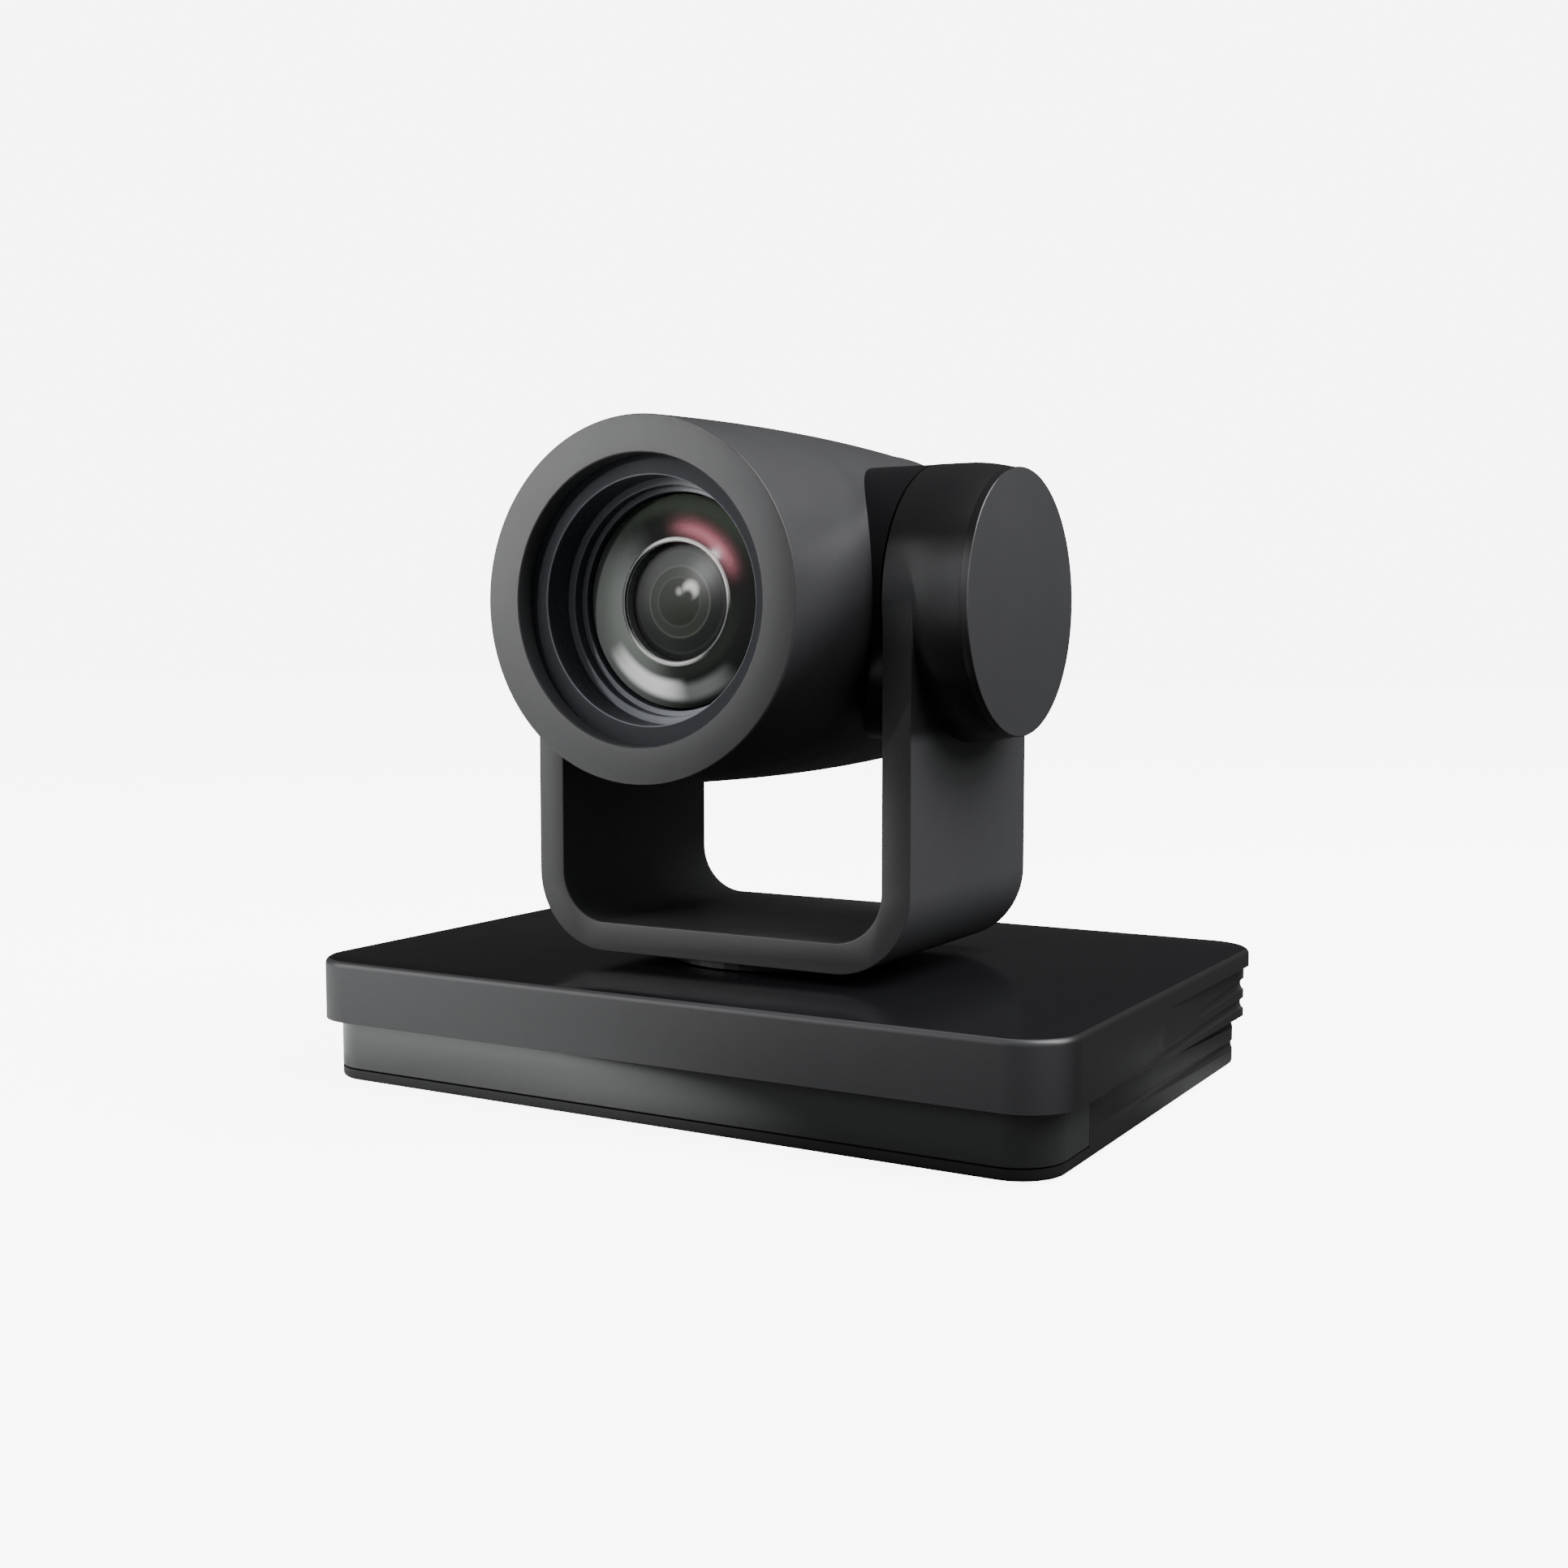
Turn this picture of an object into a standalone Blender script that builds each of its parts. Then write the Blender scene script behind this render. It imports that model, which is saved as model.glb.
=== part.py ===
"""Pan-tilt-zoom conference camera: a flat ribbed base, a U-shaped yoke that pans on it, and a
round camera head that tilts between the yoke's arms. Millimetres below, metres in the scene,
+Z up, the lens looking along -Y, the origin under the middle of the base on the table."""
import math

import bmesh
import bpy
from mathutils import Matrix, Vector

MM = 0.001
GAP = 0.3                    # clearance between pieces that touch

# Base
BASE_X = 109.0               # half width of the top cover
BASE_Y = 76.8                # half depth of the top cover
BASE_TOP = 33.1
FLOOR_BOTTOM = 1.2           # the rubber feet lift the shell this far
FLOOR_TOP = 3.4
CORNER = 14.0                # plan radius of the top cover's corners
SHELL_CORNER = 12.0
SEAM_FRONT = 16.7            # lower edge of the cover at the front ...
SEAM_REAR = 10.9             # ... and at the rear end of its sides
SEAM_BEND_Y = -50.0          # where the seam starts to drop along the sides
SHELL_X = 104.9              # half width of the lower shell
SHELL_FRONT = -73.7
SHELL_REAR = 74.3
WINDOW_END_Y = -47.7         # the front window wraps round the corners to here
PANEL_X = 88.0               # half width of the opening for the sockets
PANEL_LOW = 5.6
PANEL_HIGH = 27.2
BOARD_TOP = 7.4              # the sockets stand on the main board

# Yoke and pan drive
AXIS_Y = -5.5                # pan axis and tilt axis both pass over this line
YOKE_INNER = 47.95
YOKE_OUTER = 55.45
YOKE_HALF_DEPTH = 35.2
YOKE_UNDER = 35.9
YOKE_FLOOR = 43.8
HUB_R = 14.0
BELT_LOW = 21.5
BELT_HIGH = 26.5
PAN_MOTOR_X = 45.0

# Tilt drive and drums at the top of the arms
AXIS_Z = 128.3               # tilt axis and lens axis
DRUM_R = 35.3
DRUM_RIM_R = 33.2
DRUM_OUT = 67.3              # outer end of the drum wall, where the cap sits
CAP_OUT = 69.3
CUP_R = 31.0
CUP_FLOOR = 50.6
SHAFT_R = 7.0
TILT_BELT_IN = 53.4
TILT_BELT_OUT = 58.4
TILT_MOTOR_DROP = 20.0       # the motor sits this far below the tilt axis

# Head
HEAD_FRONT = -76.1
HEAD_REAR = 56.5
HEAD_R = 44.0                # at the front edge
HEAD_BULGE_R = 45.6          # at the middle
HEAD_SPLIT_Y = 36.0          # rear cover starts here
NECK_OUT = 47.2
LENS_HOLE_R = 35.0

for old in list(bpy.data.objects):
    bpy.data.objects.remove(old, do_unlink=True)


def new_collection(name):
    collection = bpy.data.collections.new(name)
    bpy.context.scene.collection.children.link(collection)
    return collection


parts = new_collection("ptz_camera")
cutters = new_collection("cutters")


def finish(name, colour, roughness, metallic=0.0, alpha=1.0):
    material = bpy.data.materials.new(name)
    material.use_nodes = True
    shader = material.node_tree.nodes["Principled BSDF"]
    shader.inputs["Base Color"].default_value = (*colour, 1.0)
    shader.inputs["Roughness"].default_value = roughness
    shader.inputs["Metallic"].default_value = metallic
    shader.inputs["Alpha"].default_value = alpha
    return material


SATIN = finish("satin_black_plastic", (0.035, 0.036, 0.040), 0.42)
GLOSS = finish("gloss_black_plastic", (0.012, 0.012, 0.014), 0.16)
WINDOW = finish("smoked_acrylic", (0.030, 0.034, 0.034), 0.08)
HOOD = finish("matt_black_hood", (0.012, 0.013, 0.016), 0.50)
GLASS = finish("coated_glass", (0.20, 0.26, 0.24), 0.03, alpha=0.35)
SILVER = finish("silver_ring", (0.72, 0.72, 0.70), 0.25, metallic=1.0)
STEEL = finish("steel", (0.50, 0.50, 0.52), 0.35, metallic=1.0)
BRASS = finish("brass", (0.70, 0.52, 0.24), 0.30, metallic=1.0)
RUBBER = finish("rubber", (0.020, 0.020, 0.020), 0.85)
BOARD = finish("circuit_board", (0.015, 0.10, 0.045), 0.45)
NYLON = finish("white_nylon", (0.75, 0.74, 0.70), 0.50)


def place(name, mesh, material=None):
    """One object from a mesh in metres: a part if it has a material, otherwise a cutter."""
    obj = bpy.data.objects.new(name, mesh)
    if material is None:
        cutters.objects.link(obj)
        obj.hide_render = True
        obj.display_type = "WIRE"
    else:
        parts.objects.link(obj)
        mesh.materials.append(material)
    return obj


def block(name, low, high, material=None, corner=0.0, along="Z", side=0, steps=5, rim=0.0):
    """A box from low to high. Its edges along one axis are rounded; side -1 rounds only the
    lower ones. rim rounds the edge of the top face."""
    shape = bmesh.new()
    size = [b - a for a, b in zip(low, high)]
    middle = [(a + b) / 2 for a, b in zip(low, high)]
    matrix = Matrix.Translation(Vector(middle) * MM) @ Matrix.Diagonal([*[s * MM for s in size], 1])
    bmesh.ops.create_cube(shape, size=1.0, matrix=matrix)
    axis = "XYZ".index(along)

    def runs_along(edge):
        way = (edge.verts[1].co - edge.verts[0].co).normalized()
        return abs(way[axis]) > 0.99 and (side == 0 or edge.verts[0].co.z < middle[2] * MM)

    if corner:
        bmesh.ops.bevel(shape, geom=[e for e in shape.edges if runs_along(e)], offset=corner * MM,
                        segments=steps, profile=0.5, affect="EDGES")
    if rim:
        top = high[2] * MM - 1e-6
        edge = [e for e in shape.edges if all(v.co.z > top for v in e.verts)
                and any(f.normal.z < 0.5 for f in e.link_faces)]
        bmesh.ops.bevel(shape, geom=edge, offset=rim * MM, segments=2, profile=0.5, affect="EDGES")
    mesh = bpy.data.meshes.new(name)
    shape.to_mesh(mesh)
    shape.free()
    return place(name, mesh, material)


def turned(name, profile, material=None, centre=(0.0, 0.0, 0.0), axis="Z", steps=48, ring=False):
    """A profile of (radius, height along the axis) turned once round. It runs down the outer
    side, and back up the inner side where it is a ring."""
    shape = bmesh.new()
    along = "XYZ".index(axis)
    corners = []
    for radius, height in profile:
        point = [0.0, 0.0, 0.0]
        point[along] = height * MM
        point[(along + 1) % 3] = radius * MM
        corners.append(shape.verts.new(point))
    for a, b in zip(corners, corners[1:]):
        shape.edges.new((a, b))
    if ring:
        shape.edges.new((corners[-1], corners[0]))
    mesh = bpy.data.meshes.new(name)
    shape.to_mesh(mesh)
    shape.free()
    obj = place(name, mesh, material)
    obj.location = Vector(centre) * MM
    screw = obj.modifiers.new("turn", "SCREW")
    screw.axis = axis
    screw.steps = steps
    screw.render_steps = steps
    screw.use_merge_vertices = True
    screw.merge_threshold = 0.00001
    return obj


def cylinder(name, radius, low, high, material=None, centre=(0.0, 0.0, 0.0), axis="Z", steps=24):
    profile = [(0.0, high), (radius, high), (radius, low), (0.0, low)]
    return turned(name, profile, material, centre, axis, steps)


def tube(name, inner, outer, low, high, material=None, centre=(0.0, 0.0, 0.0), axis="Z", steps=32):
    profile = [(inner, high), (outer, high), (outer, low), (inner, low)]
    return turned(name, profile, material, centre, axis, steps, ring=True)


def plate(name, outlines, low, high, material=None, across="Z"):
    """A flat shape from closed outlines, the inner ones being holes, as thick as low to high."""
    curve = bpy.data.curves.new(name, "CURVE")
    curve.dimensions = "2D"
    curve.fill_mode = "BOTH"
    curve.extrude = (high - low) / 2 * MM
    for outline in outlines:
        spline = curve.splines.new("POLY")
        spline.points.add(len(outline) - 1)
        for point, (u, v) in zip(spline.points, outline):
            point.co = (u * MM, v * MM, 0.0, 1.0)
        spline.use_cyclic_u = True
    drawn = bpy.data.objects.new(name, curve)
    cutters.objects.link(drawn)
    bpy.context.view_layer.update()
    mesh = bpy.data.meshes.new_from_object(drawn.evaluated_get(bpy.context.evaluated_depsgraph_get()))
    bpy.data.objects.remove(drawn, do_unlink=True)
    shape = bmesh.new()
    shape.from_mesh(mesh)
    bmesh.ops.remove_doubles(shape, verts=shape.verts, dist=0.00001)
    if across == "X":        # the outline's own u and v become Y and Z
        bmesh.ops.rotate(shape, verts=shape.verts, matrix=Matrix(((0, 0, 1), (1, 0, 0), (0, 1, 0))))
    shift = Vector((0, 0, 1)) if across == "Z" else Vector((1, 0, 0))
    bmesh.ops.translate(shape, verts=shape.verts, vec=shift * (low + high) / 2 * MM)
    bmesh.ops.recalc_face_normals(shape, faces=shape.faces)
    mesh.clear_geometry()
    shape.to_mesh(mesh)
    shape.free()
    return place(name, mesh, material)


def rod_between(name, start, end, radius, steps=8):
    """A cutter rod between two points."""
    start, end = Vector(start) * MM, Vector(end) * MM
    way = end - start
    turn = way.to_track_quat("Z", "Y").to_matrix().to_4x4()
    shape = bmesh.new()
    bmesh.ops.create_cone(shape, cap_ends=True, segments=steps, radius1=radius * MM,
                          radius2=radius * MM, depth=way.length,
                          matrix=Matrix.Translation((start + end) / 2) @ turn)
    mesh = bpy.data.meshes.new(name)
    shape.to_mesh(mesh)
    shape.free()
    return place(name, mesh)


def boolean(obj, others, operation):
    for other in others:
        step = obj.modifiers.new(operation.lower(), "BOOLEAN")
        step.operation = operation
        step.solver = "EXACT"
        step.object = other


def cut(obj, *others):
    boolean(obj, others, "DIFFERENCE")


def fuse(obj, *others):
    boolean(obj, others, "UNION")


def circle(radius, steps, centre=(0.0, 0.0)):
    angles = [2 * math.pi * i / steps for i in range(steps)]
    return [(centre[0] + radius * math.cos(a), centre[1] + radius * math.sin(a)) for a in angles]


def toothed(tip, root, teeth, centre=(0.0, 0.0)):
    """A pulley's outline: a flat tip and a flat root for each tooth."""
    points = []
    for i in range(teeth):
        for share, radius in ((-0.22, tip), (0.22, tip), (0.34, root), (0.66, root)):
            angle = 2 * math.pi * (i + share) / teeth
            points.append((centre[0] + radius * math.cos(angle), centre[1] + radius * math.sin(angle)))
    return points


def belt_loop(big, small, distance, steps=14):
    """An open belt's path round a big pulley at the origin and a small one at +distance."""
    lean = math.acos((big - small) / distance)
    points = []
    for i in range(steps + 1):
        angle = lean + (2 * math.pi - 2 * lean) * i / steps
        points.append((big * math.cos(angle), big * math.sin(angle)))
    for i in range(steps + 1):
        angle = -lean + 2 * lean * i / steps
        points.append((distance + small * math.cos(angle), small * math.sin(angle)))
    return points


# ---------------------------------------------------------------- base housings

def side_grooves():
    """Ribs along both sides are what stays between these grooves, which deepen to the rear."""
    lines = (
        (-2.0, 21.7, 22.0, 1.5),         # start y, z there, z at the rear, radius
        (-16.0, 18.2, 16.4, 1.4),
        (SEAM_BEND_Y, SEAM_FRONT - 0.2, SEAM_REAR - 0.2, 1.2),
        (-44.0, 7.6, 5.6, 1.3),
    )
    found = []
    for side, word in ((1, "right"), (-1, "left")):
        for number, (start_y, start_z, end_z, radius) in enumerate(lines, 1):
            upper = number < 3
            start_x = (BASE_X if upper else SHELL_X) + radius
            end_x = (BASE_X - 3.8 if upper else SHELL_X - 0.8) + 0.5
            found.append((upper, number, rod_between(
                f"cut_groove_{word}_{number}", (side * start_x, start_y, start_z),
                (side * end_x, 80.0, end_z), radius)))
    return found


grooves = side_grooves()
socket_opening = block("cut_socket_opening", (-PANEL_X, 70.0, PANEL_LOW), (PANEL_X, 80.0, PANEL_HIGH))

top_cover = block("top_cover", (-BASE_X, -BASE_Y, SEAM_REAR), (BASE_X, BASE_Y, BASE_TOP), SATIN,
                  corner=CORNER, steps=6, rim=1.6)
cover_inside = block("cut_cover_inside", (-102.6, -74.4, 0.0), (102.6, 74.4, 30.9), corner=CORNER - 2)
below_seam = plate("cut_below_seam", [[(-90, 0), (90, 0), (90, SEAM_REAR),
                                       (SEAM_BEND_Y, SEAM_FRONT), (-90, SEAM_FRONT)]],
                   -120, 120, across="X")
hub_hole = cylinder("cut_hub_hole", 18.3, 25.0, 40.0, centre=(0, AXIS_Y, 0), steps=32)
cut(top_cover, cover_inside, below_seam, hub_hole, socket_opening)
for hand, word in ((1, "right"), (-1, "left")):
    # Below its rear lip the cover's side leans in, from nothing at the middle to 3.8 at the rear.
    lean = plate(f"cut_lean_{word}", [[(hand * 115, -4.0), (hand * 115, 80.0), (hand * 106.2, 80.0),
                                      (hand * BASE_X, -4.0)]], 0.0, 28.4)
    cut(top_cover, lean)
cut(top_cover, *[rod for upper, number, rod in grooves if upper or number == 3])

lower_shell = block("lower_shell", (-SHELL_X, SHELL_FRONT, FLOOR_BOTTOM), (SHELL_X, SHELL_REAR, 16.4),
                    SATIN, corner=SHELL_CORNER, steps=6)
shell_inside = block("cut_shell_inside", (-100.4, -69.4, FLOOR_TOP), (100.4, 72.1, 40.0), corner=10.0)
above_seam = plate("cut_above_seam", [[(-90, SEAM_FRONT - GAP), (SEAM_BEND_Y, SEAM_FRONT - GAP),
                                       (90, SEAM_REAR - GAP), (90, 40), (-90, 40)]],
                   -120, 120, across="X")
window_recess = block("cut_window_recess", (-115, -85, FLOOR_TOP), (115, WINDOW_END_Y + GAP, 30))
window_back = block("cut_window_back", (-102.8, -71.6, 0), (102.8, 40, 35), corner=SHELL_CORNER - 2.1,
                    steps=6)
cut(window_recess, window_back)
cut(lower_shell, shell_inside, above_seam, window_recess, socket_opening)
cut(lower_shell, *[rod for upper, number, rod in grooves if number >= 3])

front_window = block("front_window", (-SHELL_X, SHELL_FRONT, FLOOR_TOP + GAP), (SHELL_X, 20, 16.4),
                     WINDOW, corner=SHELL_CORNER, steps=6)
window_inside = block("cut_window_inside", (-103.1, -71.9, 0), (103.1, 40, 30), corner=SHELL_CORNER - 1.8,
                      steps=6)
window_keep = block("cut_window_keep", (-120, WINDOW_END_Y, 0), (120, 40, 30))
cut(front_window, window_inside, window_keep)

# ---------------------------------------------------------------- underside

FOOT_PLACES = ((-85, -56), (85, -56), (-85, 50), (85, 50))
SCREW_PLACES = ((-95, -58), (95, -58), (-95, 60), (95, 60))
for number, (x, y) in enumerate(FOOT_PLACES, 1):
    turned(f"rubber_foot_{number}",
           [(0, 4.6), (2.4, 4.6), (2.4, 0.9), (8.0, 0.9), (8.0, 0.0), (0, 0.0)],
           RUBBER, (x, y, 0), steps=16)
    cut(lower_shell, cylinder(f"cut_foot_{number}", 2.7, 0.0, 6.0, centre=(x, y, 0), steps=12))
for number, (x, y) in enumerate(SCREW_PLACES, 1):
    turned(f"base_screw_{number}",
           [(0, 12.0), (1.4, 12.0), (1.4, 2.2), (2.7, 2.2), (2.7, 1.3), (0, 1.3)],
           STEEL, (x, y, 0), steps=12)
    hole = turned(f"cut_screw_{number}",
                  [(0, 6.0), (1.8, 6.0), (1.8, 2.5), (3.1, 2.5), (3.1, 0.0), (0, 0.0)],
                  centre=(x, y, 0), steps=12)
    cut(lower_shell, hole)
turned("tripod_bush", [(0, 11.0), (7.0, 11.0), (7.0, 1.3), (3.2, 1.3), (3.2, 9.5), (0, 9.5)],
       BRASS, (0, AXIS_Y, 0), steps=24)
cut(lower_shell, cylinder("cut_bush", 7.3, 0.0, 6.0, centre=(0, AXIS_Y, 0)))

# ---------------------------------------------------------------- boards, sockets, rear panel

block("main_board", (-92, 34, BOARD_TOP - 1.6), (92, 69.5, BOARD_TOP), BOARD)
block("front_board", (-70, -65.0, 4.2), (70, -63.4, 14.5), BOARD)
block("ir_receiver", (-44, -68.8, 6.0), (-37, -65.3, 12.5), GLOSS)
block("status_light", (38, -68.8, 7.5), (42, -65.3, 11.5), NYLON)

rear_panel = block("rear_panel", (-93, 69.8, 3.8), (93, 71.7, 28.6), SATIN)
SOCKET_FOOT = BOARD_TOP + GAP


def box_socket(name, x, width, top, hole_width, hole_low, hole_high, material, end_y=73.4):
    """A square socket on the board, open to the rear, and its opening in the panel."""
    body = block(name, (x - width / 2, 56.0, SOCKET_FOOT), (x + width / 2, end_y, top), material)
    cut(body, block(f"cut_{name}", (x - hole_width / 2, 61.0, hole_low), (x + hole_width / 2, 80, hole_high)))
    panel_cut(name, x - width / 2, x + width / 2, SOCKET_FOOT, top)
    return body


def panel_cut(name, left, right, low, high):
    cut(rear_panel, block(f"cut_panel_{name}", (left - GAP, 66, low - GAP), (right + GAP, 78, high + GAP)))


box_socket("hdmi_socket", -34, 15.4, 13.9, 14.0, 8.4, 13.2, STEEL)
box_socket("usb_socket", 13, 14.4, 15.0, 13.0, 8.5, 14.2, STEEL)
box_socket("lan_socket", 37, 16.6, 21.6, 12.0, 10.2, 17.8, STEEL)


def round_socket(name, x, half, top, radius, material, pin):
    """A square body on the board with a round hole, and a contact pin in the hole."""
    centre = (x, 0, (SOCKET_FOOT + top) / 2)
    body = block(name, (x - half, 58.0, SOCKET_FOOT), (x + half, 73.0, top), material)
    cut(body, tube(f"cut_{name}", pin, radius, 63.0, 80.0, centre=centre, axis="Y", steps=24))
    panel_cut(name, x - half, x + half, SOCKET_FOOT, top)
    return body


round_socket("serial_socket", 61, 7.0, 21.0, 4.9, HOOD, 2.2)
round_socket("dc_socket", -56, 5.0, 18.6, 3.2, HOOD, 1.0)

sdi_centre = (-11, 0, 15.0)
turned("sdi_socket",
       [(0.0, 73.5), (0.9, 73.5), (0.9, 66.0), (3.9, 66.0), (3.9, 75.6), (4.8, 75.6),
        (4.8, 71.0), (6.2, 71.0), (6.2, 58.0), (0.0, 58.0)],
       STEEL, sdi_centre, "Y", steps=24)
cut(rear_panel, cylinder("cut_panel_sdi", 6.5, 66, 78, centre=sdi_centre, axis="Y"))

SWITCH_X = -76.0
SWITCH_Y = 68.0
SWITCH_Z = 15.0
ROCKER_LEAN = math.radians(8)        # it leans this far either way from upright
power_switch = block("power_switch", (SWITCH_X - 9.0, 60.0, 8.4), (SWITCH_X + 9.0, 73.0, 21.6), HOOD)
cut(power_switch, block("cut_power_switch", (SWITCH_X - 6.9, 63.0, SWITCH_Z - 5.0),
                        (SWITCH_X + 6.9, 80.0, SWITCH_Z + 5.0)))
panel_cut("switch", SWITCH_X - 9.0, SWITCH_X + 9.0, 8.4, 21.6)
power_rocker = block("power_rocker", (SWITCH_X - 6.4, 65.5, SWITCH_Z - 3.8),
                     (SWITCH_X + 6.4, 73.6, SWITCH_Z + 3.8), GLOSS)
pivot = Matrix.Translation(Vector((0, SWITCH_Y, SWITCH_Z)) * MM)
power_rocker.data.transform(pivot @ Matrix.Rotation(-ROCKER_LEAN, 4, "X") @ pivot.inverted())

# ---------------------------------------------------------------- pan drive, inside the base

pan_line = (0, AXIS_Y, 0)
motor_line = (PAN_MOTOR_X, AXIS_Y, 0)
PAN_TEETH = 30
PAN_PINION_TEETH = 10
PAN_PULLEY_R = 20.0
PAN_PINION_R = 6.7

chassis = block("drive_chassis", (-45, -40.5, 3.7), (68, 29.5, 20.0), STEEL)
cut(chassis, block("cut_chassis", (-43, -60, 0), (66, 60, 18.0)),
    cylinder("cut_chassis_hub", 18.3, 10, 30, centre=pan_line, steps=32),
    cylinder("cut_chassis_motor", 5.0, 10, 30, centre=motor_line))
tube("pan_bearing_lower", HUB_R + GAP, 18.0, 17.7, 20.3, STEEL, pan_line)
tube("pan_bearing_upper", HUB_R + GAP, 18.0, 29.4, 32.9, STEEL, pan_line)
pan_motor = block("pan_motor", (PAN_MOTOR_X - 17.5, AXIS_Y - 17.5, 3.9),
                  (PAN_MOTOR_X + 17.5, AXIS_Y + 17.5, 17.7), STEEL, corner=3.0, steps=2)
cut(pan_motor, cylinder("cut_pan_motor", 2.6, 10.0, 30.0, centre=motor_line, steps=16))


def pulley(name, radius, teeth, inner, low, high, centre, across="Z"):
    """A toothed pulley; centre is in the plane that it turns in."""
    tip = [(u + centre[0], v + centre[1]) for u, v in toothed(radius, radius - 1.0, teeth)]
    return plate(name, [tip, circle(inner, 24, centre)] if inner else [tip], low, high, NYLON, across)


def belt(name, big, small, distance, low, high, centre, turn, across="Z"):
    """A thin belt round two pulleys; turn is the direction to the small one, in degrees."""
    wall = 1.0
    loops = []
    for extra in (GAP, GAP + wall):
        loop = belt_loop(big + extra, small + extra, distance)
        c, s = math.cos(math.radians(turn)), math.sin(math.radians(turn))
        loops.append([(centre[0] + u * c - v * s, centre[1] + u * s + v * c) for u, v in loop])
    return plate(name, [loops[1], loops[0]], low, high, RUBBER, across)


pan_pulley = pulley("pan_pulley", PAN_PULLEY_R, PAN_TEETH, HUB_R + GAP, BELT_LOW - 0.4, BELT_HIGH + 0.4,
                    (0, AXIS_Y))
pan_pinion = pulley("pan_pinion", PAN_PINION_R, PAN_PINION_TEETH, 0, BELT_LOW - 0.4, BELT_HIGH + 0.4,
                    (PAN_MOTOR_X, AXIS_Y))
fuse(pan_pinion, cylinder("join_pan_shaft", 2.2, 12.0, BELT_LOW + 1, centre=motor_line, steps=12))
belt("pan_belt", PAN_PULLEY_R, PAN_PINION_R, PAN_MOTOR_X, BELT_LOW, BELT_HIGH, (0, AXIS_Y), 0)
pan_hub = turned("pan_hub",
                 [(9.0, 35.6), (31.0, 35.6), (31.0, 33.5), (HUB_R, 33.5), (HUB_R, 15.5), (9.0, 15.5)],
                 HOOD, pan_line, steps=48, ring=True)

# ---------------------------------------------------------------- yoke

yoke = block("yoke", (-YOKE_OUTER, AXIS_Y - YOKE_HALF_DEPTH, YOKE_UNDER),
             (YOKE_OUTER, AXIS_Y + YOKE_HALF_DEPTH, AXIS_Z), SATIN, corner=21.0, along="Y", side=-1,
             steps=8)
yoke_gap = block("cut_yoke_gap", (-YOKE_INNER, -60, YOKE_FLOOR), (YOKE_INNER, 60, 200), corner=13.3,
                 along="Y", side=-1, steps=7)
tilt_line = (0, AXIS_Y, AXIS_Z)
cut(yoke, yoke_gap)
drums = []
for hand, word in ((1, "right"), (-1, "left")):
    def along_x(profile):
        """The left side's profile is the right one's mirror image, still running downwards."""
        return profile if hand > 0 else [(r, -h) for r, h in reversed(profile)]

    # The arm is bitten out inside the drum, and the drum's cup joined in its place.
    cut(yoke, turned(f"cut_arm_{word}", along_x([(0, 80), (CUP_R + 1.5, 80), (CUP_R + 1.5, 40), (0, 40)]),
                     None, tilt_line, "X"))
    drums.append(turned(f"join_drum_{word}",
                        along_x([(11.3, CUP_FLOOR), (CUP_R, CUP_FLOOR), (CUP_R, DRUM_OUT),
                                 (DRUM_RIM_R, DRUM_OUT), (DRUM_R, YOKE_OUTER),
                                 (DRUM_R, YOKE_INNER - 0.1), (11.3, YOKE_INNER - 0.1)]),
                        None, tilt_line, "X", ring=True))
    turned(f"{word}_cap",
           along_x([(0, CAP_OUT), (DRUM_RIM_R - 0.5, CAP_OUT), (DRUM_RIM_R, CAP_OUT - 0.5),
                    (DRUM_RIM_R, DRUM_OUT + GAP), (0, DRUM_OUT + GAP)]), SATIN, tilt_line, "X", steps=48)
    tube(f"tilt_bearing_{word}", SHAFT_R + GAP, 11.0, *sorted((hand * 48.2, hand * 52.7)), STEEL,
         tilt_line, "X", steps=24)
    turned(f"{word}_trunnion",
           along_x([(4.0, 60.0), (SHAFT_R, 60.0), (SHAFT_R, 44.6), (12.0, 44.6), (12.0, 42.6), (4.0, 42.6)]),
           STEEL, tilt_line, "X", steps=24, ring=True)
fuse(yoke, *drums)

# Tilt drive in the right drum
TILT_TEETH = 20
TILT_PINION_TEETH = 7
TILT_PULLEY_R = 13.0
TILT_PINION_R = 4.55
tilt_yz = (AXIS_Y, AXIS_Z)
motor_yz = (AXIS_Y, AXIS_Z - TILT_MOTOR_DROP)
tilt_motor_line = (0, *motor_yz)
tilt_pulley = pulley("tilt_pulley", TILT_PULLEY_R, TILT_TEETH, SHAFT_R + GAP, TILT_BELT_IN - 0.4,
                     TILT_BELT_OUT + 0.4, tilt_yz, "X")
tilt_pinion = pulley("tilt_pinion", TILT_PINION_R, TILT_PINION_TEETH, 0, TILT_BELT_IN - 0.4,
                     TILT_BELT_OUT + 0.4, motor_yz, "X")
fuse(tilt_pinion, cylinder("join_tilt_shaft", 1.4, TILT_BELT_IN, 64.0, centre=tilt_motor_line, axis="X",
                           steps=12))
belt("tilt_belt", TILT_PULLEY_R, TILT_PINION_R, TILT_MOTOR_DROP, TILT_BELT_IN, TILT_BELT_OUT, tilt_yz,
     -90, "X")
tilt_motor = cylinder("tilt_motor", 10.0, 60.6, 66.9, STEEL, tilt_motor_line, "X", steps=28)
cut(tilt_motor, cylinder("cut_tilt_motor", 1.8, 55, 65, centre=tilt_motor_line, axis="X", steps=12))
bracket = block("tilt_motor_bracket", (59.2, AXIS_Y - 17.5, AXIS_Z - 24), (60.3, AXIS_Y + 17.5, AXIS_Z - 15),
                STEEL)
fuse(bracket, *[cylinder(f"join_post_{n}", 2.0, CUP_FLOOR + GAP, 60.0, axis="X", steps=12,
                         centre=(0, AXIS_Y + y, AXIS_Z - 20.5)) for n, y in enumerate((-14.8, 14.8), 1)])
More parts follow.
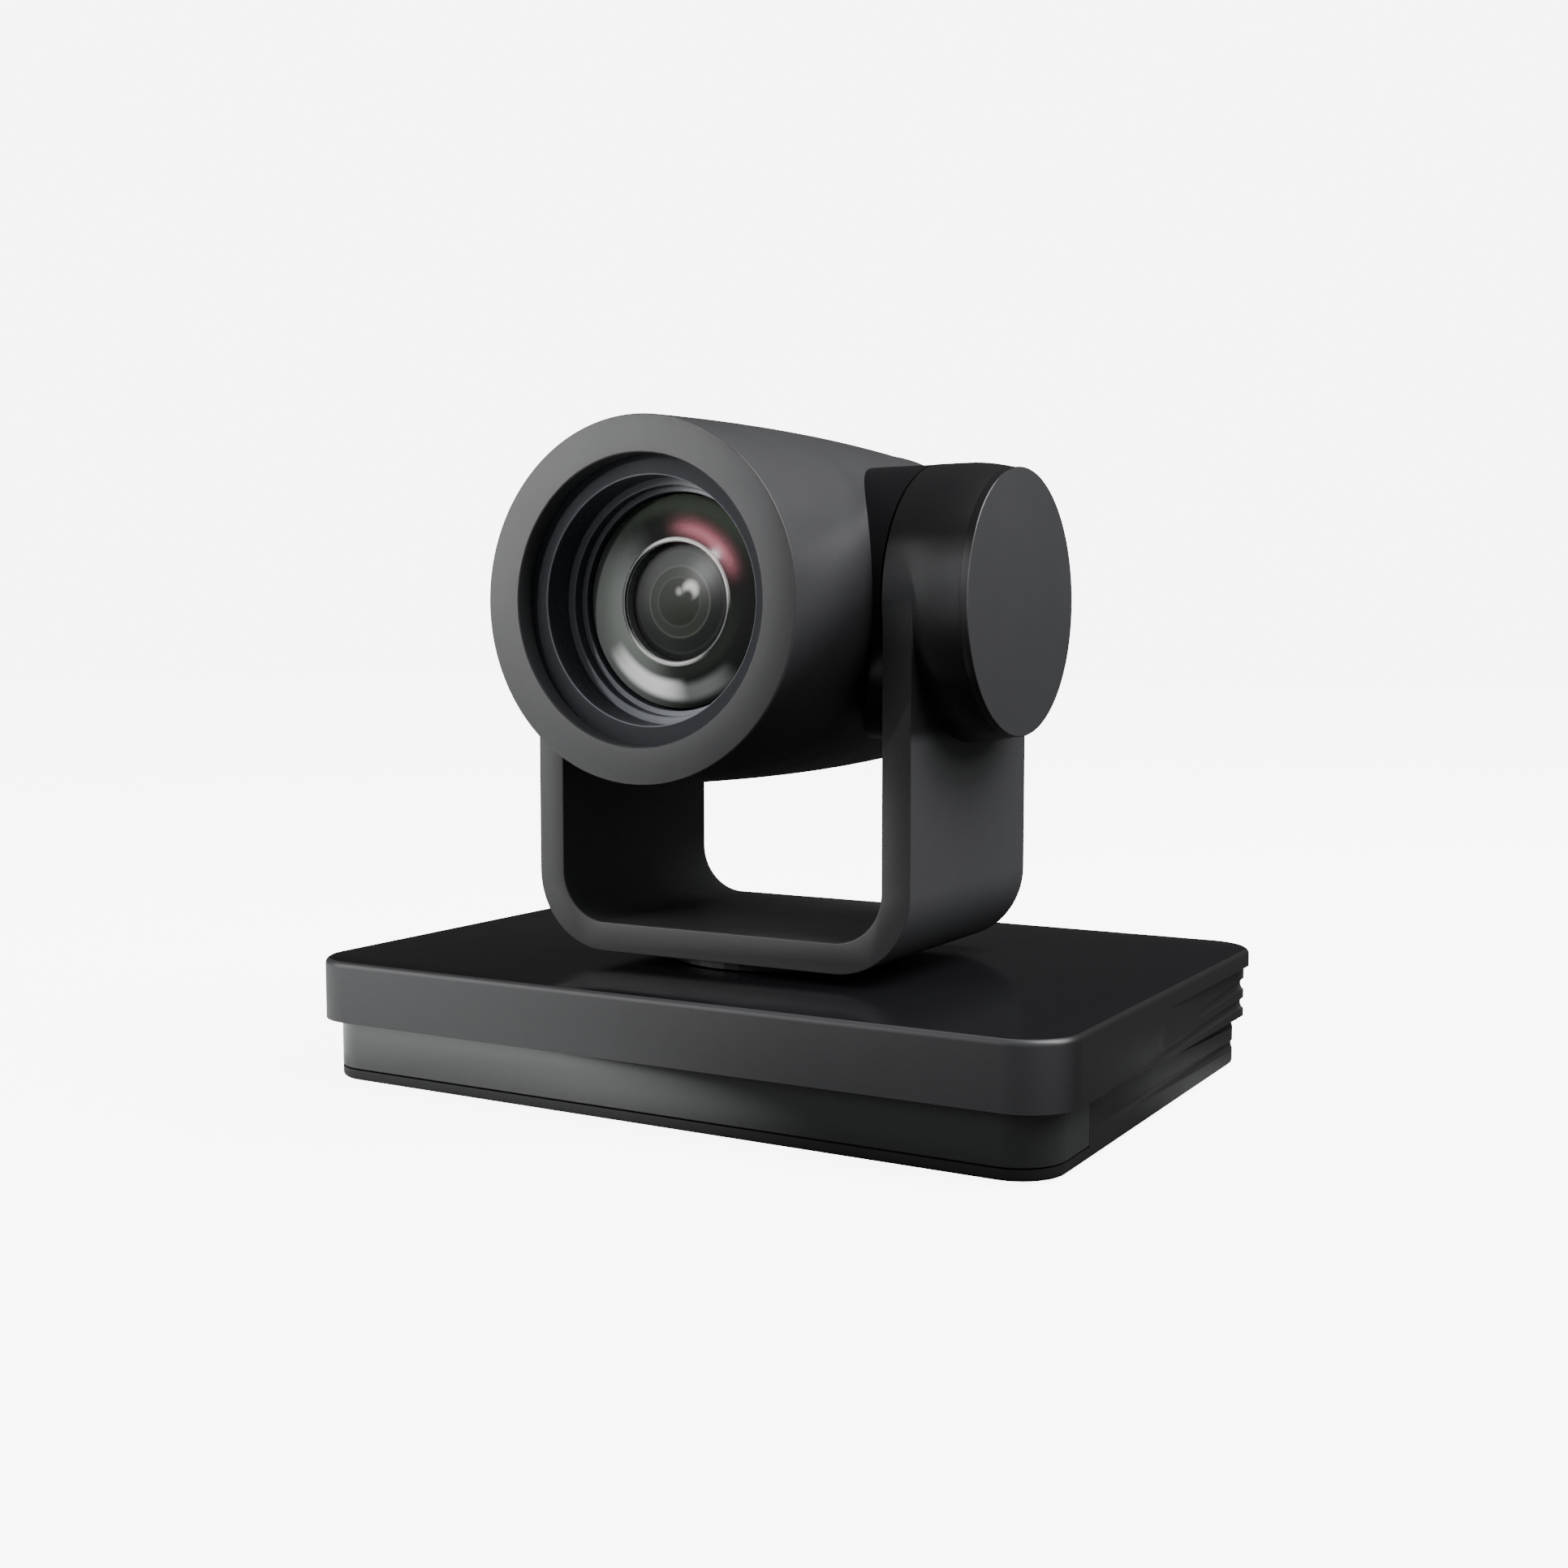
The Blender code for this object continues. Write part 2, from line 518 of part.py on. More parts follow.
cut(bracket, cylinder("cut_bracket", 2.4, 55, 65, centre=tilt_motor_line, axis="X", steps=12))

# ---------------------------------------------------------------- camera head
# Profiles here are (radius, y) about the lens axis; +Y is towards the rear, so the outer side
# of a piece runs from the rear to the front.

lens_line = (0, 0, AXIS_Z)


def barrel_radius(y):
    """The barrel swells gently from the front edge to the middle and narrows to the rear."""
    middle = -12.0
    if y < middle:
        share = (y - middle) / (HEAD_FRONT - middle)
        return HEAD_BULGE_R - (HEAD_BULGE_R - HEAD_R) * share ** 2
    share = (y - middle) / (HEAD_SPLIT_Y - middle)
    return HEAD_BULGE_R - 1.1 * share ** 2


rings = [HEAD_SPLIT_Y + (HEAD_FRONT + 0.3 - HEAD_SPLIT_Y) * i / 6 for i in range(7)]
barrel = [(0.0, rings[0])] + [(barrel_radius(y), y) for y in rings] + [(0.0, rings[-1])]
head_shell = turned("head_shell", barrel, GLOSS, lens_line, "Y")
neck = turned("join_neck", [(0, NECK_OUT), (DRUM_R, NECK_OUT), (DRUM_R, -NECK_OUT), (0, -NECK_OUT)],
              None, tilt_line, "X", steps=48)
fuse(head_shell, neck)
neck_inside = cylinder("cut_neck_inside", 32.8, -44.9, 44.9, centre=tilt_line, axis="X", steps=40)
head_inside = turned("join_head_inside",
                     [(0, 60), (42.3, 60), (42.3, -70.8), (42.9, -70.8), (42.9, -90), (0, -90)],
                     None, lens_line, "Y")
fuse(neck_inside, head_inside)
cut(head_shell, neck_inside,
    *[cylinder(f"cut_trunnion_bore_{word}", SHAFT_R + GAP, *sorted((hand * 40, hand * 60)), steps=24,
               centre=tilt_line, axis="X") for hand, word in ((1, "right"), (-1, "left"))])

turned("front_bezel",
       [(42.6, -71.1), (42.6, HEAD_FRONT + 0.2), (42.4, HEAD_FRONT), (LENS_HOLE_R + 0.6, HEAD_FRONT),
        (LENS_HOLE_R, HEAD_FRONT + 0.6), (LENS_HOLE_R, -71.1)],
       SATIN, lens_line, "Y", ring=True)
turned("lens_hood",
       [(40.5, -69.0), (40.5, -70.8), (30.1, -70.8), (30.1, -62.0), (28.2, -62.0), (28.2, -58.7),
        (26.9, -58.7), (26.9, -54.5), (31.5, -54.5), (32.4, -69.0)],
       HOOD, lens_line, "Y", steps=48, ring=True)


def dome(radius, edge_y, rise, count):
    """Points of a shallow cap: radius and y from its edge to near its middle."""
    sphere = (radius ** 2 + rise ** 2) / (2 * rise)
    reach = math.asin(radius / sphere)
    angles = [reach * (1 - i / count) for i in range(count + 1)]
    return [(sphere * math.sin(a), edge_y + rise - sphere * (1 - math.cos(a))) for a in angles]


def lens(name, radius, front_y, rise, rim, material, steps=40):
    """A lens bulging forwards, with a flat back; rim is the thickness at its edge."""
    outline = [(r, 2 * (front_y + rise) - y) for r, y in dome(radius, front_y + rise, rise, 5)]
    back = front_y + rise + rim
    return turned(name, [(0.0, back), (radius, back)] + outline[:-1] + [(0.0, front_y)], material,
                  lens_line, "Y", steps)


lens("front_glass", 26.4, -60.4, 3.2, 1.6, GLASS)
turned("lens_barrel", [(26.4, -20.0), (26.4, -54.2), (24.6, -54.2), (24.6, -20.0)], HOOD, lens_line, "Y",
       steps=40, ring=True)
turned("iris_ring",
       [(24.3, -47.0), (24.3, -49.0), (15.4, -54.6), (13.9, -54.6), (13.2, -53.6), (13.2, -47.0)],
       SILVER, lens_line, "Y", steps=40, ring=True)
lens("inner_lens", 12.8, -53.2, 2.0, 2.2, GLASS, steps=32)

ZOOM_HALF = 21.0
zoom_housing = block("zoom_housing", (-ZOOM_HALF, -19.6, AXIS_Z - ZOOM_HALF),
                     (ZOOM_HALF, 22.0, AXIS_Z + ZOOM_HALF), HOOD)
cut(zoom_housing,
    block("cut_zoom_inside", (-ZOOM_HALF + 2, -17.6, AXIS_Z - ZOOM_HALF + 2),
          (ZOOM_HALF - 2, 40.0, AXIS_Z + ZOOM_HALF - 2)),
    cylinder("cut_zoom_front", 13.0, -30, 0, centre=lens_line, axis="Y", steps=32))
ROD_PLACES = ((15.0, 15.0), (-15.0, -15.0))
for number, (x, z) in enumerate(ROD_PLACES, 1):
    cylinder(f"guide_rod_{number}", 1.2, -17.3, 21.7, STEEL, (x, 0, AXIS_Z + z), "Y", steps=12)


def carriage(name, y, half):
    """A lens carriage: a plate that slides on both guide rods and holds a lens ring."""
    body = block(name, (-half, y, AXIS_Z - half), (half, y + 5.0, AXIS_Z + half), HOOD, corner=3.0,
                 along="Y", steps=2)
    for number, (x, z) in enumerate(ROD_PLACES, 1):
        cut(body, cylinder(f"cut_{name}_{number}", 1.2 + GAP, y - 5, y + 10, centre=(x, 0, AXIS_Z + z),
                           axis="Y", steps=12))
    cut(body, cylinder(f"cut_{name}_light", 9.5, y - 5, y + 10, centre=lens_line, axis="Y", steps=24))


carriage("zoom_carriage", -16.0, 18.0)
carriage("focus_carriage", 13.0, 18.0)
sensor_board = block("sensor_board", (-ZOOM_HALF, 22.3, AXIS_Z - ZOOM_HALF),
                     (ZOOM_HALF, 23.9, AXIS_Z + ZOOM_HALF), BOARD)
fuse(sensor_board, block("join_sensor", (-6.5, 20.3, AXIS_Z - 4.5), (6.5, 22.8, AXIS_Z + 4.5)))

REAR_WALL = 2.2
outer = [(44.4, HEAD_SPLIT_Y + GAP)] + [(r, y) for r, y in
                                        dome(44.4, HEAD_SPLIT_Y + 8.0, HEAD_REAR - HEAD_SPLIT_Y - 8.0, 5)]
inner_dome = dome(42.0, HEAD_SPLIT_Y + 7.0, HEAD_REAR - HEAD_SPLIT_Y - 7.0 - REAR_WALL, 4)
turned("rear_cover", outer[:0:-1] + [outer[0], (42.0, HEAD_SPLIT_Y + GAP)] + inner_dome, GLOSS,
       lens_line, "Y")

# ---------------------------------------------------------------- joints

HEAD = ("head_shell", "front_bezel", "lens_hood", "front_glass", "lens_barrel", "iris_ring",
        "inner_lens", "zoom_housing", "guide_rod_1", "guide_rod_2", "sensor_board", "rear_cover",
        "left_trunnion", "right_trunnion", "tilt_pulley")
PAN = ("yoke", "pan_hub", "pan_pulley", "left_cap", "right_cap", "tilt_bearing_left",
       "tilt_bearing_right", "tilt_motor", "tilt_motor_bracket", "tilt_belt")


def joint(name, origin, children, parent=None):
    """An empty on a joint's axis, with the pieces that it moves as its children."""
    empty = bpy.data.objects.new(name, None)
    parts.objects.link(empty)
    empty.location = Vector(origin) * MM
    if parent is not None:
        empty.location -= Vector(parent["origin"])
        empty.parent = parent
    empty["origin"] = [value * MM for value in origin]
    inverse = Matrix.Translation(Vector(origin) * MM).inverted()
    for child in children:
        bpy.data.objects[child].parent = empty
        bpy.data.objects[child].matrix_parent_inverse = inverse
    return empty


pan_joint = joint("pan_joint", (0, AXIS_Y, YOKE_UNDER), PAN)
tilt_joint = joint("tilt_joint", tilt_line, HEAD, pan_joint)
joint("zoom_joint", (0, -16.0, AXIS_Z), ("zoom_carriage",), tilt_joint)
joint("focus_joint", (0, 13.0, AXIS_Z), ("focus_carriage",), tilt_joint)
joint("tilt_motor_joint", (TILT_BELT_IN, *motor_yz), ("tilt_pinion",), pan_joint)
joint("pan_motor_joint", (PAN_MOTOR_X, AXIS_Y, BELT_LOW), ("pan_pinion",))
joint("power_joint", (SWITCH_X, SWITCH_Y, SWITCH_Z), ("power_rocker",))
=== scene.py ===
"""Looks of the pan-tilt-zoom conference camera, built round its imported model. Metres, +Z up, the
lens looking along -Y. Sections follow the order in which the camera is put together."""
import math

import bpy
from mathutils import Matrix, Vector


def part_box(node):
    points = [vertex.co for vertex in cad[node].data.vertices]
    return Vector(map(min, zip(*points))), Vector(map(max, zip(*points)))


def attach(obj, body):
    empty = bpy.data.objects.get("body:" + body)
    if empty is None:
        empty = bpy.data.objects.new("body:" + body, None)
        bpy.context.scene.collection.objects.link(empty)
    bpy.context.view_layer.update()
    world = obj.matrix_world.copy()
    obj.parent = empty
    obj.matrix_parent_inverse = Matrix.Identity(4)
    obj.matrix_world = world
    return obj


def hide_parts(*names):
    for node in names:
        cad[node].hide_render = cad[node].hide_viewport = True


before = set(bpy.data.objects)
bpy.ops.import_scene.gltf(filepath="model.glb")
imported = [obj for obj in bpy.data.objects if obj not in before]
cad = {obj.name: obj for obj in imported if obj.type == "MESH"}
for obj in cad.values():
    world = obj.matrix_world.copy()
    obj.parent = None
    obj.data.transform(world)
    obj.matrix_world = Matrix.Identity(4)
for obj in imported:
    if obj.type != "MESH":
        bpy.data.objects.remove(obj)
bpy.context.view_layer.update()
bpy.ops.object.select_all(action="DESELECT")
mm = 0.001

# Viewpoint: from the front right, a little above the base, with a level horizon.
view_place = (252.53 * mm, -443.36 * mm, 119.41 * mm)
view_turn = math.radians(29.96)
view_down = math.radians(4.49)
bpy.ops.object.camera_add(location=view_place, rotation=(math.pi / 2 - view_down, 0, view_turn))
camera = bpy.context.object
camera.data.sensor_width = 36.0
camera.data.lens = 42.68
bpy.context.scene.camera = camera

# Lower shell: one black moulding with a flat floor and upright walls. The front wall steps back
# for the window above a thin ledge, and long grooves leave ribs along both sides.


class Wire:
    """A shader socket that adds, subtracts, multiplies and compares like a number."""

    def __init__(self, tree, socket=None):
        self.tree = tree
        self.socket = socket

    def node(self, kind, settings=None, values=None, output=0):
        """Any node: its settings first, then the values or links of its sockets."""
        made = self.tree.nodes.new(kind)
        for key, value in (settings or {}).items():
            setattr(made, key, value)
        for key, value in (values or {}).items():
            if isinstance(value, Wire):
                self.tree.links.new(value.socket, made.inputs[key])
            else:
                made.inputs[key].default_value = value
        return Wire(self.tree, made.outputs[output])

    def math(self, operation, first, second=0.0):
        return self.node("ShaderNodeMath", {"operation": operation}, {0: first, 1: second})

    def __add__(self, other):
        return self.math("ADD", self, other)

    def __radd__(self, other):
        return self.math("ADD", other, self)

    def __sub__(self, other):
        return self.math("SUBTRACT", self, other)

    def __rsub__(self, other):
        return self.math("SUBTRACT", other, self)

    def __mul__(self, other):
        return self.math("MULTIPLY", self, other)

    def __rmul__(self, other):
        return self.math("MULTIPLY", other, self)

    def __truediv__(self, other):
        return self.math("DIVIDE", self, other)

    def clamped(self):
        return self.node("ShaderNodeClamp", None, {"Value": self})


class Coating:
    """A Principled material: constants go on its sockets, patterns are linked to them."""

    def __init__(self, name, **constants):
        self.material = bpy.data.materials.new(name)
        self.material.use_nodes = True
        self.tree = self.material.node_tree
        self.shader = self.tree.nodes["Principled BSDF"]
        self.wire = Wire(self.tree)
        for key, value in constants.items():
            self.shader.inputs[key.replace("_", " ")].default_value = value

    def link(self, **wires):
        for key, wire in wires.items():
            self.tree.links.new(wire.socket, self.shader.inputs[key.replace("_", " ")])

    def place(self):
        return self.wire.node("ShaderNodeTexCoord", None, None, "Object")

    def axes(self):
        """The three object coordinates as separate wires."""
        split = self.wire.node("ShaderNodeSeparateXYZ", None, {"Vector": self.place()})
        outputs = split.socket.node.outputs
        return [Wire(self.tree, outputs[axis]) for axis in "XYZ"]

    def ease(self, value, low, high):
        """A soft step: 0 below low and 1 above high, the other way round if low is above."""
        return self.wire.node("ShaderNodeMapRange", {"interpolation_type": "SMOOTHSTEP"},
                              {"Value": value, "From Min": low, "From Max": high})

    def noise(self, scale, detail=3.0, place=None):
        return self.wire.node("ShaderNodeTexNoise", None,
                              {"Vector": place or self.place(), "Scale": scale, "Detail": detail})

    def mix(self, share, first, second):
        """Blends two colours, each given as numbers or as a wire."""
        first, second = (c if isinstance(c, Wire) else (*c, 1) for c in (first, second))
        return self.wire.node("ShaderNodeMix", {"data_type": "RGBA"},
                              {"Factor": share, 6: first, 7: second}, 2)

    def bump(self, height, depth, strength=1.0):
        return self.wire.node("ShaderNodeBump", None,
                              {"Strength": strength, "Distance": depth, "Height": height})


def moulded(name, colour, roughness, grain, sheen=0.5):
    """Moulded plastic: a faint cloudiness, uneven gloss and a fine spark-eroded grain."""
    coat = Coating(name, Specular_IOR_Level=sheen)
    cloud = coat.noise(28.0)
    lighter = [channel * 1.22 for channel in colour]
    coat.link(Base_Color=coat.mix(cloud, colour, lighter))
    coat.link(Roughness=roughness + (coat.noise(90.0) - 0.5) * 0.10)
    coat.link(Normal=coat.bump(coat.noise(1700.0, 2.0), 0.02 * mm, grain))
    return coat.material


def shade_painted_satin(coat, pale, dark, share, roughness, gloss=0.0, uneven=0.10):
    """Satin plastic with painted shade: it turns to a darker, glossier one where the share is 1."""
    coat.link(Base_Color=coat.mix(share, pale, dark))
    coat.link(Roughness=roughness - share * gloss + (coat.noise(90.0) - 0.5) * uneven)
    coat.link(Normal=coat.bump(coat.noise(1700.0, 2.0), 0.02 * mm, 0.5))
    return coat.material


satin_black = moulded("satin_black", (0.040, 0.0405, 0.043), 0.40, 0.5, 0.5)
ribbed_black = moulded("ribbed_black", (0.014, 0.014, 0.015), 0.34, 0.5, 0.42)


def edit(obj):
    """Goes into edit mode on one object with nothing selected."""
    bpy.ops.object.select_all(action="DESELECT")
    bpy.context.view_layer.objects.active = obj
    obj.select_set(True)
    bpy.ops.object.mode_set(mode="EDIT")
    bpy.ops.mesh.select_mode(type="EDGE")
    bpy.ops.mesh.select_all(action="DESELECT")
    bpy.ops.object.mode_set(mode="OBJECT")


def round_edges(obj, chosen, width, segments):
    """Bevels the edges whose two ends pass the test."""
    edit(obj)
    points = obj.data.vertices
    for edge in obj.data.edges:
        a, b = (points[i].co for i in edge.vertices)
        edge.select = bool(chosen(a, b))
    bpy.ops.object.mode_set(mode="EDIT")
    bpy.ops.mesh.bevel(offset=width, segments=segments, affect="EDGES")
    bpy.ops.object.mode_set(mode="OBJECT")


def block(name, low, high, corner=0.0, along="Z", segments=12, lower_only=False):
    """A cube added at its size and place, its edges along one axis rounded."""
    low, high = Vector(low), Vector(high)
    bpy.ops.mesh.primitive_cube_add(size=1.0, location=(low + high) / 2)
    obj = bpy.context.object
    obj.name = name
    obj.scale = high - low
    bpy.ops.object.transform_apply(location=True, rotation=True, scale=True)
    axis = "XYZ".index(along)
    middle = (low.z + high.z) / 2
    if corner:
        round_edges(obj, lambda a, b: abs(a[axis] - b[axis]) > 0.9 * (high - low)[axis]
                    and (not lower_only or a.z < middle), corner, segments)
    return obj


def work(obj, tool, operation="DIFFERENCE"):
    """Cuts or joins with another solid, which is used up."""
    step = obj.modifiers.new("work", "BOOLEAN")
    step.operation = operation
    step.solver = "EXACT"
    step.object = tool
    bpy.ops.object.select_all(action="DESELECT")
    bpy.context.view_layer.objects.active = obj
    bpy.ops.object.modifier_apply(modifier=step.name)
    bpy.data.objects.remove(tool, do_unlink=True)


def smooth(obj, angle=32.0):
    bpy.ops.object.select_all(action="DESELECT")
    bpy.context.view_layer.objects.active = obj
    obj.select_set(True)
    bpy.ops.object.shade_smooth_by_angle(angle=math.radians(angle))
    obj.select_set(False)


def mount(obj, body, slot, material, *nodes):
    """The finished piece rides on its body, in its finish, in place of its CAD nodes."""
    obj.data.materials.clear()
    obj.data.materials.append(material)
    smooth(obj)
    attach(obj, body)
    if nodes:
        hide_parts(*nodes)
    return obj


def slope(name, outline, low, high, along):
    """A prism: an outline in the plane across one axis, filled and extruded along it."""
    mesh = bpy.data.meshes.new(name)
    order = {"X": lambda u, v: (low, u, v), "Z": lambda u, v: (u, v, low)}[along]
    mesh.from_pydata([order(u, v) for u, v in outline], [], [tuple(range(len(outline)))])
    obj = bpy.data.objects.new(name, mesh)
    bpy.context.collection.objects.link(obj)
    edit(obj)
    bpy.ops.object.mode_set(mode="EDIT")
    bpy.ops.mesh.select_all(action="SELECT")
    step = (high - low, 0, 0) if along == "X" else (0, 0, high - low)
    bpy.ops.mesh.extrude_region_move(TRANSFORM_OT_translate={"value": step})
    bpy.ops.mesh.select_all(action="SELECT")
    bpy.ops.mesh.normals_make_consistent(inside=False)
    bpy.ops.object.mode_set(mode="OBJECT")
    return obj


def groove_tool(side, start, end, radius):
    """A long rod that leaves the wall at start and bites deeper towards end."""
    start, end = Vector(start), Vector(end)
    start.x *= side
    end.x *= side
    way = end - start
    bpy.ops.mesh.primitive_cylinder_add(vertices=24, radius=radius, depth=way.length,
                                        location=(start + end) / 2,
                                        rotation=way.to_track_quat("Z", "Y").to_euler())
    tool = bpy.context.object
    bpy.ops.object.transform_apply(location=True, rotation=True, scale=True)
    return tool


shell_low, shell_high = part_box("lower_shell")
cover_low, cover_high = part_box("top_cover")
window_low, window_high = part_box("front_window")
seam_bend = -50 * mm             # the seam runs level to here, then falls towards the rear
seam_front = shell_high.z + 0.25 * mm
seam_rear = cover_low.z + 0.05 * mm
seam_gap = 0.12 * mm
wall_end = 90 * mm
far = 130 * mm
ledge = window_low.z - 0.3 * mm
groove_end = 80 * mm
cover_lean = 3.8 * mm

shell_corner = 12 * mm
shell_bottom = shell_low.z - 0.6 * mm
shell_inside = ((-100.4 * mm, -69.4 * mm, 3.4 * mm), (100.4 * mm, 72.1 * mm, far))
ledge_depth = 2.1 * mm
lower_shell = block("lower_shell_looks", (shell_low.x, shell_low.y, shell_bottom), shell_high,
                    shell_corner)
round_edges(lower_shell, lambda a, b: max(a.z, b.z) < shell_bottom + 0.1 * mm, 0.9 * mm, 3)
work(lower_shell, block("tool", *shell_inside, 10 * mm))
work(lower_shell, slope("tool", [(-wall_end, seam_front - seam_gap), (seam_bend, seam_front - seam_gap),
                                 (wall_end, seam_rear - seam_gap), (wall_end, far), (-wall_end, far)],
                        -far, far, "X"))
recess = block("tool", (-far, -far, ledge), (far, window_high.y + 0.2 * mm, far))
work(recess, block("tool", (shell_low.x + ledge_depth, shell_low.y + ledge_depth, 0),
                   (shell_high.x - ledge_depth, far, far), shell_corner - ledge_depth))
work(lower_shell, recess)
opening_low = Vector((-88 * mm, 70 * mm, 5.6 * mm))
opening_high = Vector((88 * mm, far, 27.2 * mm))
work(lower_shell, block("tool", opening_low, opening_high))


def cut_grooves(obj, wall, lines):
    """Each line is start y, z there, z at the rear, radius and how deep it ends."""
    for side in (1, -1):
        for start_y, start_z, end_z, radius, depth in lines:
            work(obj, groove_tool(side, (wall + radius, start_y, start_z),
                                  (wall + radius - depth, groove_end, end_z), radius))


groove_front, groove_rear = seam_front - 0.2 * mm, seam_rear - 0.2 * mm
shell_grooves = ((seam_bend, groove_front, groove_rear, 1.2 * mm, 1.7 * mm),
                 (-44 * mm, 7.6 * mm, 5.6 * mm, 1.4 * mm, 1.9 * mm))
cut_grooves(lower_shell, shell_high.x, shell_grooves)
foot_boxes = [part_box(f"rubber_foot_{number}") for number in (1, 2, 3, 4)]
screw_boxes = [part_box(f"base_screw_{number}") for number in (1, 2, 3, 4)]
bush_low, bush_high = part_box("tripod_bush")


def bore_tool(box, radius, low, high, vertices=32):
    """An upright drill through the middle of a box."""
    middle = (box[0] + box[1]) / 2
    bpy.ops.mesh.primitive_cylinder_add(vertices=vertices, radius=radius, depth=high - low,
                                        location=(middle.x, middle.y, (low + high) / 2))
    tool = bpy.context.object
    bpy.ops.object.transform_apply(location=True, rotation=True, scale=True)
    return tool


screw_seat, foot_seat, bush_seat = 3.1 * mm, 8.4 * mm, 7.2 * mm
for box in screw_boxes:
    work(lower_shell, bore_tool(box, screw_seat, -mm, 2.5 * mm))
for box in foot_boxes:
    work(lower_shell, bore_tool(box, foot_seat, -mm, shell_low.z, 48))
work(lower_shell, bore_tool((bush_low, bush_high), bush_seat, -mm, 8 * mm, 48))
mount(lower_shell, "base", "satin", ribbed_black, "lower_shell")

# Feet, base screws and tripod bush: four moulded rubber discs pushed into the floor, four
# countersunk steel cross-head screws, and a turned brass bush with a 1/4 inch thread.


def lathe(name, profile, centre, axis, steps=128, ring=True):
    """A profile of (radius, distance along the axis) spun once round a centre line."""
    along = "XYZ".index(axis)
    points = []
    for radius, distance in profile:
        point = [0.0, 0.0, 0.0]
        point[along] = distance
        point[(along + 1) % 3] = radius
        points.append(point)
    edges = [(i, i + 1) for i in range(len(points) - 1)]
    if ring:
        edges.append((len(points) - 1, 0))
    mesh = bpy.data.meshes.new(name)
    mesh.from_pydata(points, edges, [])
    obj = bpy.data.objects.new(name, mesh)
    bpy.context.collection.objects.link(obj)
    edit(obj)
    bpy.ops.object.mode_set(mode="EDIT")
    bpy.ops.mesh.select_all(action="SELECT")
    turn = [0.0, 0.0, 0.0]
    turn[along] = 1.0
    bpy.ops.mesh.spin(steps=steps, angle=2 * math.pi, center=(0, 0, 0), axis=turn)
    bpy.ops.mesh.select_all(action="SELECT")
    bpy.ops.mesh.remove_doubles(threshold=0.002 * mm)
    bpy.ops.mesh.select_all(action="SELECT")
    bpy.ops.mesh.normals_make_consistent(inside=False)
    bpy.ops.object.mode_set(mode="OBJECT")
    middle = Vector(centre)
    middle[along] = 0.0
    obj.location = middle
    bpy.ops.object.transform_apply(location=True, rotation=False, scale=False)
    return obj


def arc(radius, middle, start, end, count):
    """Points on a round edge, from one angle in degrees to another."""
    turns = [math.radians(start + (end - start) * i / count) for i in range(count + 1)]
    return [(middle[0] + radius * math.cos(t), middle[1] + radius * math.sin(t)) for t in turns]


rubber = moulded("foot_rubber", (0.020, 0.020, 0.020), 0.80, 1.0, 0.3)
for number, (low, high) in enumerate(foot_boxes, 1):
    edge = 0.4 * mm
    dimple = 0.3 * mm
    radius = (high.x - low.x) / 2
    top = 0.9 * mm
    profile = [(0, top), (radius, top)] + arc(edge, (radius - edge, low.z + edge), 0, -90, 4)
    profile += [(5.2 * mm, low.z), (4.8 * mm, low.z + dimple), (0, low.z + dimple)]
    foot = lathe(f"foot_{number}", profile, (low + high) / 2, "Z", 64, ring=False)
    mount(foot, "base", "rubber", rubber, f"rubber_foot_{number}")


def metal(name, colour, roughness, grain_scale=(1, 1, 1)):
    """Bare metal: fine scratches stretched along one way, and a little tarnish."""
    coat = Coating(name, Metallic=1.0)
    stretched = coat.wire.node("ShaderNodeMapping", None, {"Vector": coat.place(), "Scale": grain_scale})
    lines = coat.noise(900.0, 3.0, stretched)
    coat.link(Base_Color=coat.mix(coat.noise(60.0), colour, [c * 0.8 for c in colour]))
    coat.link(Roughness=roughness + (lines - 0.5) * 0.18)
    coat.link(Normal=coat.bump(lines, 0.01 * mm, 0.4))
    return coat.material


bright_steel = metal("bright_steel", (0.56, 0.56, 0.58), 0.30, (1, 6, 1))
for number, (low, high) in enumerate(screw_boxes, 1):
    middle = (low + high) / 2
    radius, shank, edge = 2.7 * mm, 1.4 * mm, 0.3 * mm
    under_head = low.z + 0.9 * mm
    profile = [(0, high.z), (1.1 * mm, high.z), (shank, high.z - 0.6 * mm), (shank, under_head)]
    profile += [(radius, under_head)] + arc(edge, (radius - edge, low.z + edge), 0, -90, 3)
    profile += [(0, low.z)]
    screw = lathe(f"screw_{number}", profile, middle, "Z", 40, ring=False)
    for half_x, half_y in ((1.6 * mm, 0.275 * mm), (0.275 * mm, 1.6 * mm)):
        work(screw, block("tool", (middle.x - half_x, middle.y - half_y, low.z - mm),
                          (middle.x + half_x, middle.y + half_y, low.z + 0.7 * mm)))
    mount(screw, "base", "steel", bright_steel, f"base_screw_{number}")

thread_pitch, thread_turns = 1.27 * mm, 6
crest, root = 3.2 * mm, 3.6 * mm
bore_end = bush_low.z + 8.2 * mm
profile = [(0, bush_high.z), (7 * mm, bush_high.z), (7 * mm, bush_low.z + 0.2 * mm),
           (6.8 * mm, bush_low.z), (3.5 * mm, bush_low.z)]
for turn in range(thread_turns):
    start = bush_low.z + 0.3 * mm + turn * thread_pitch
    profile += [(crest, start), (crest, start + 0.2 * mm),
                (root, start + thread_pitch / 2 + 0.1 * mm)]
profile += [(crest, bore_end), (0, bore_end)]
bush = lathe("threaded_bush", profile, (bush_low + bush_high) / 2, "Z", 48, ring=False)
turned_brass = metal("turned_brass", (0.72, 0.52, 0.24), 0.26, (1, 1, 8))
mount(bush, "base", "brass", turned_brass, "tripod_bush")

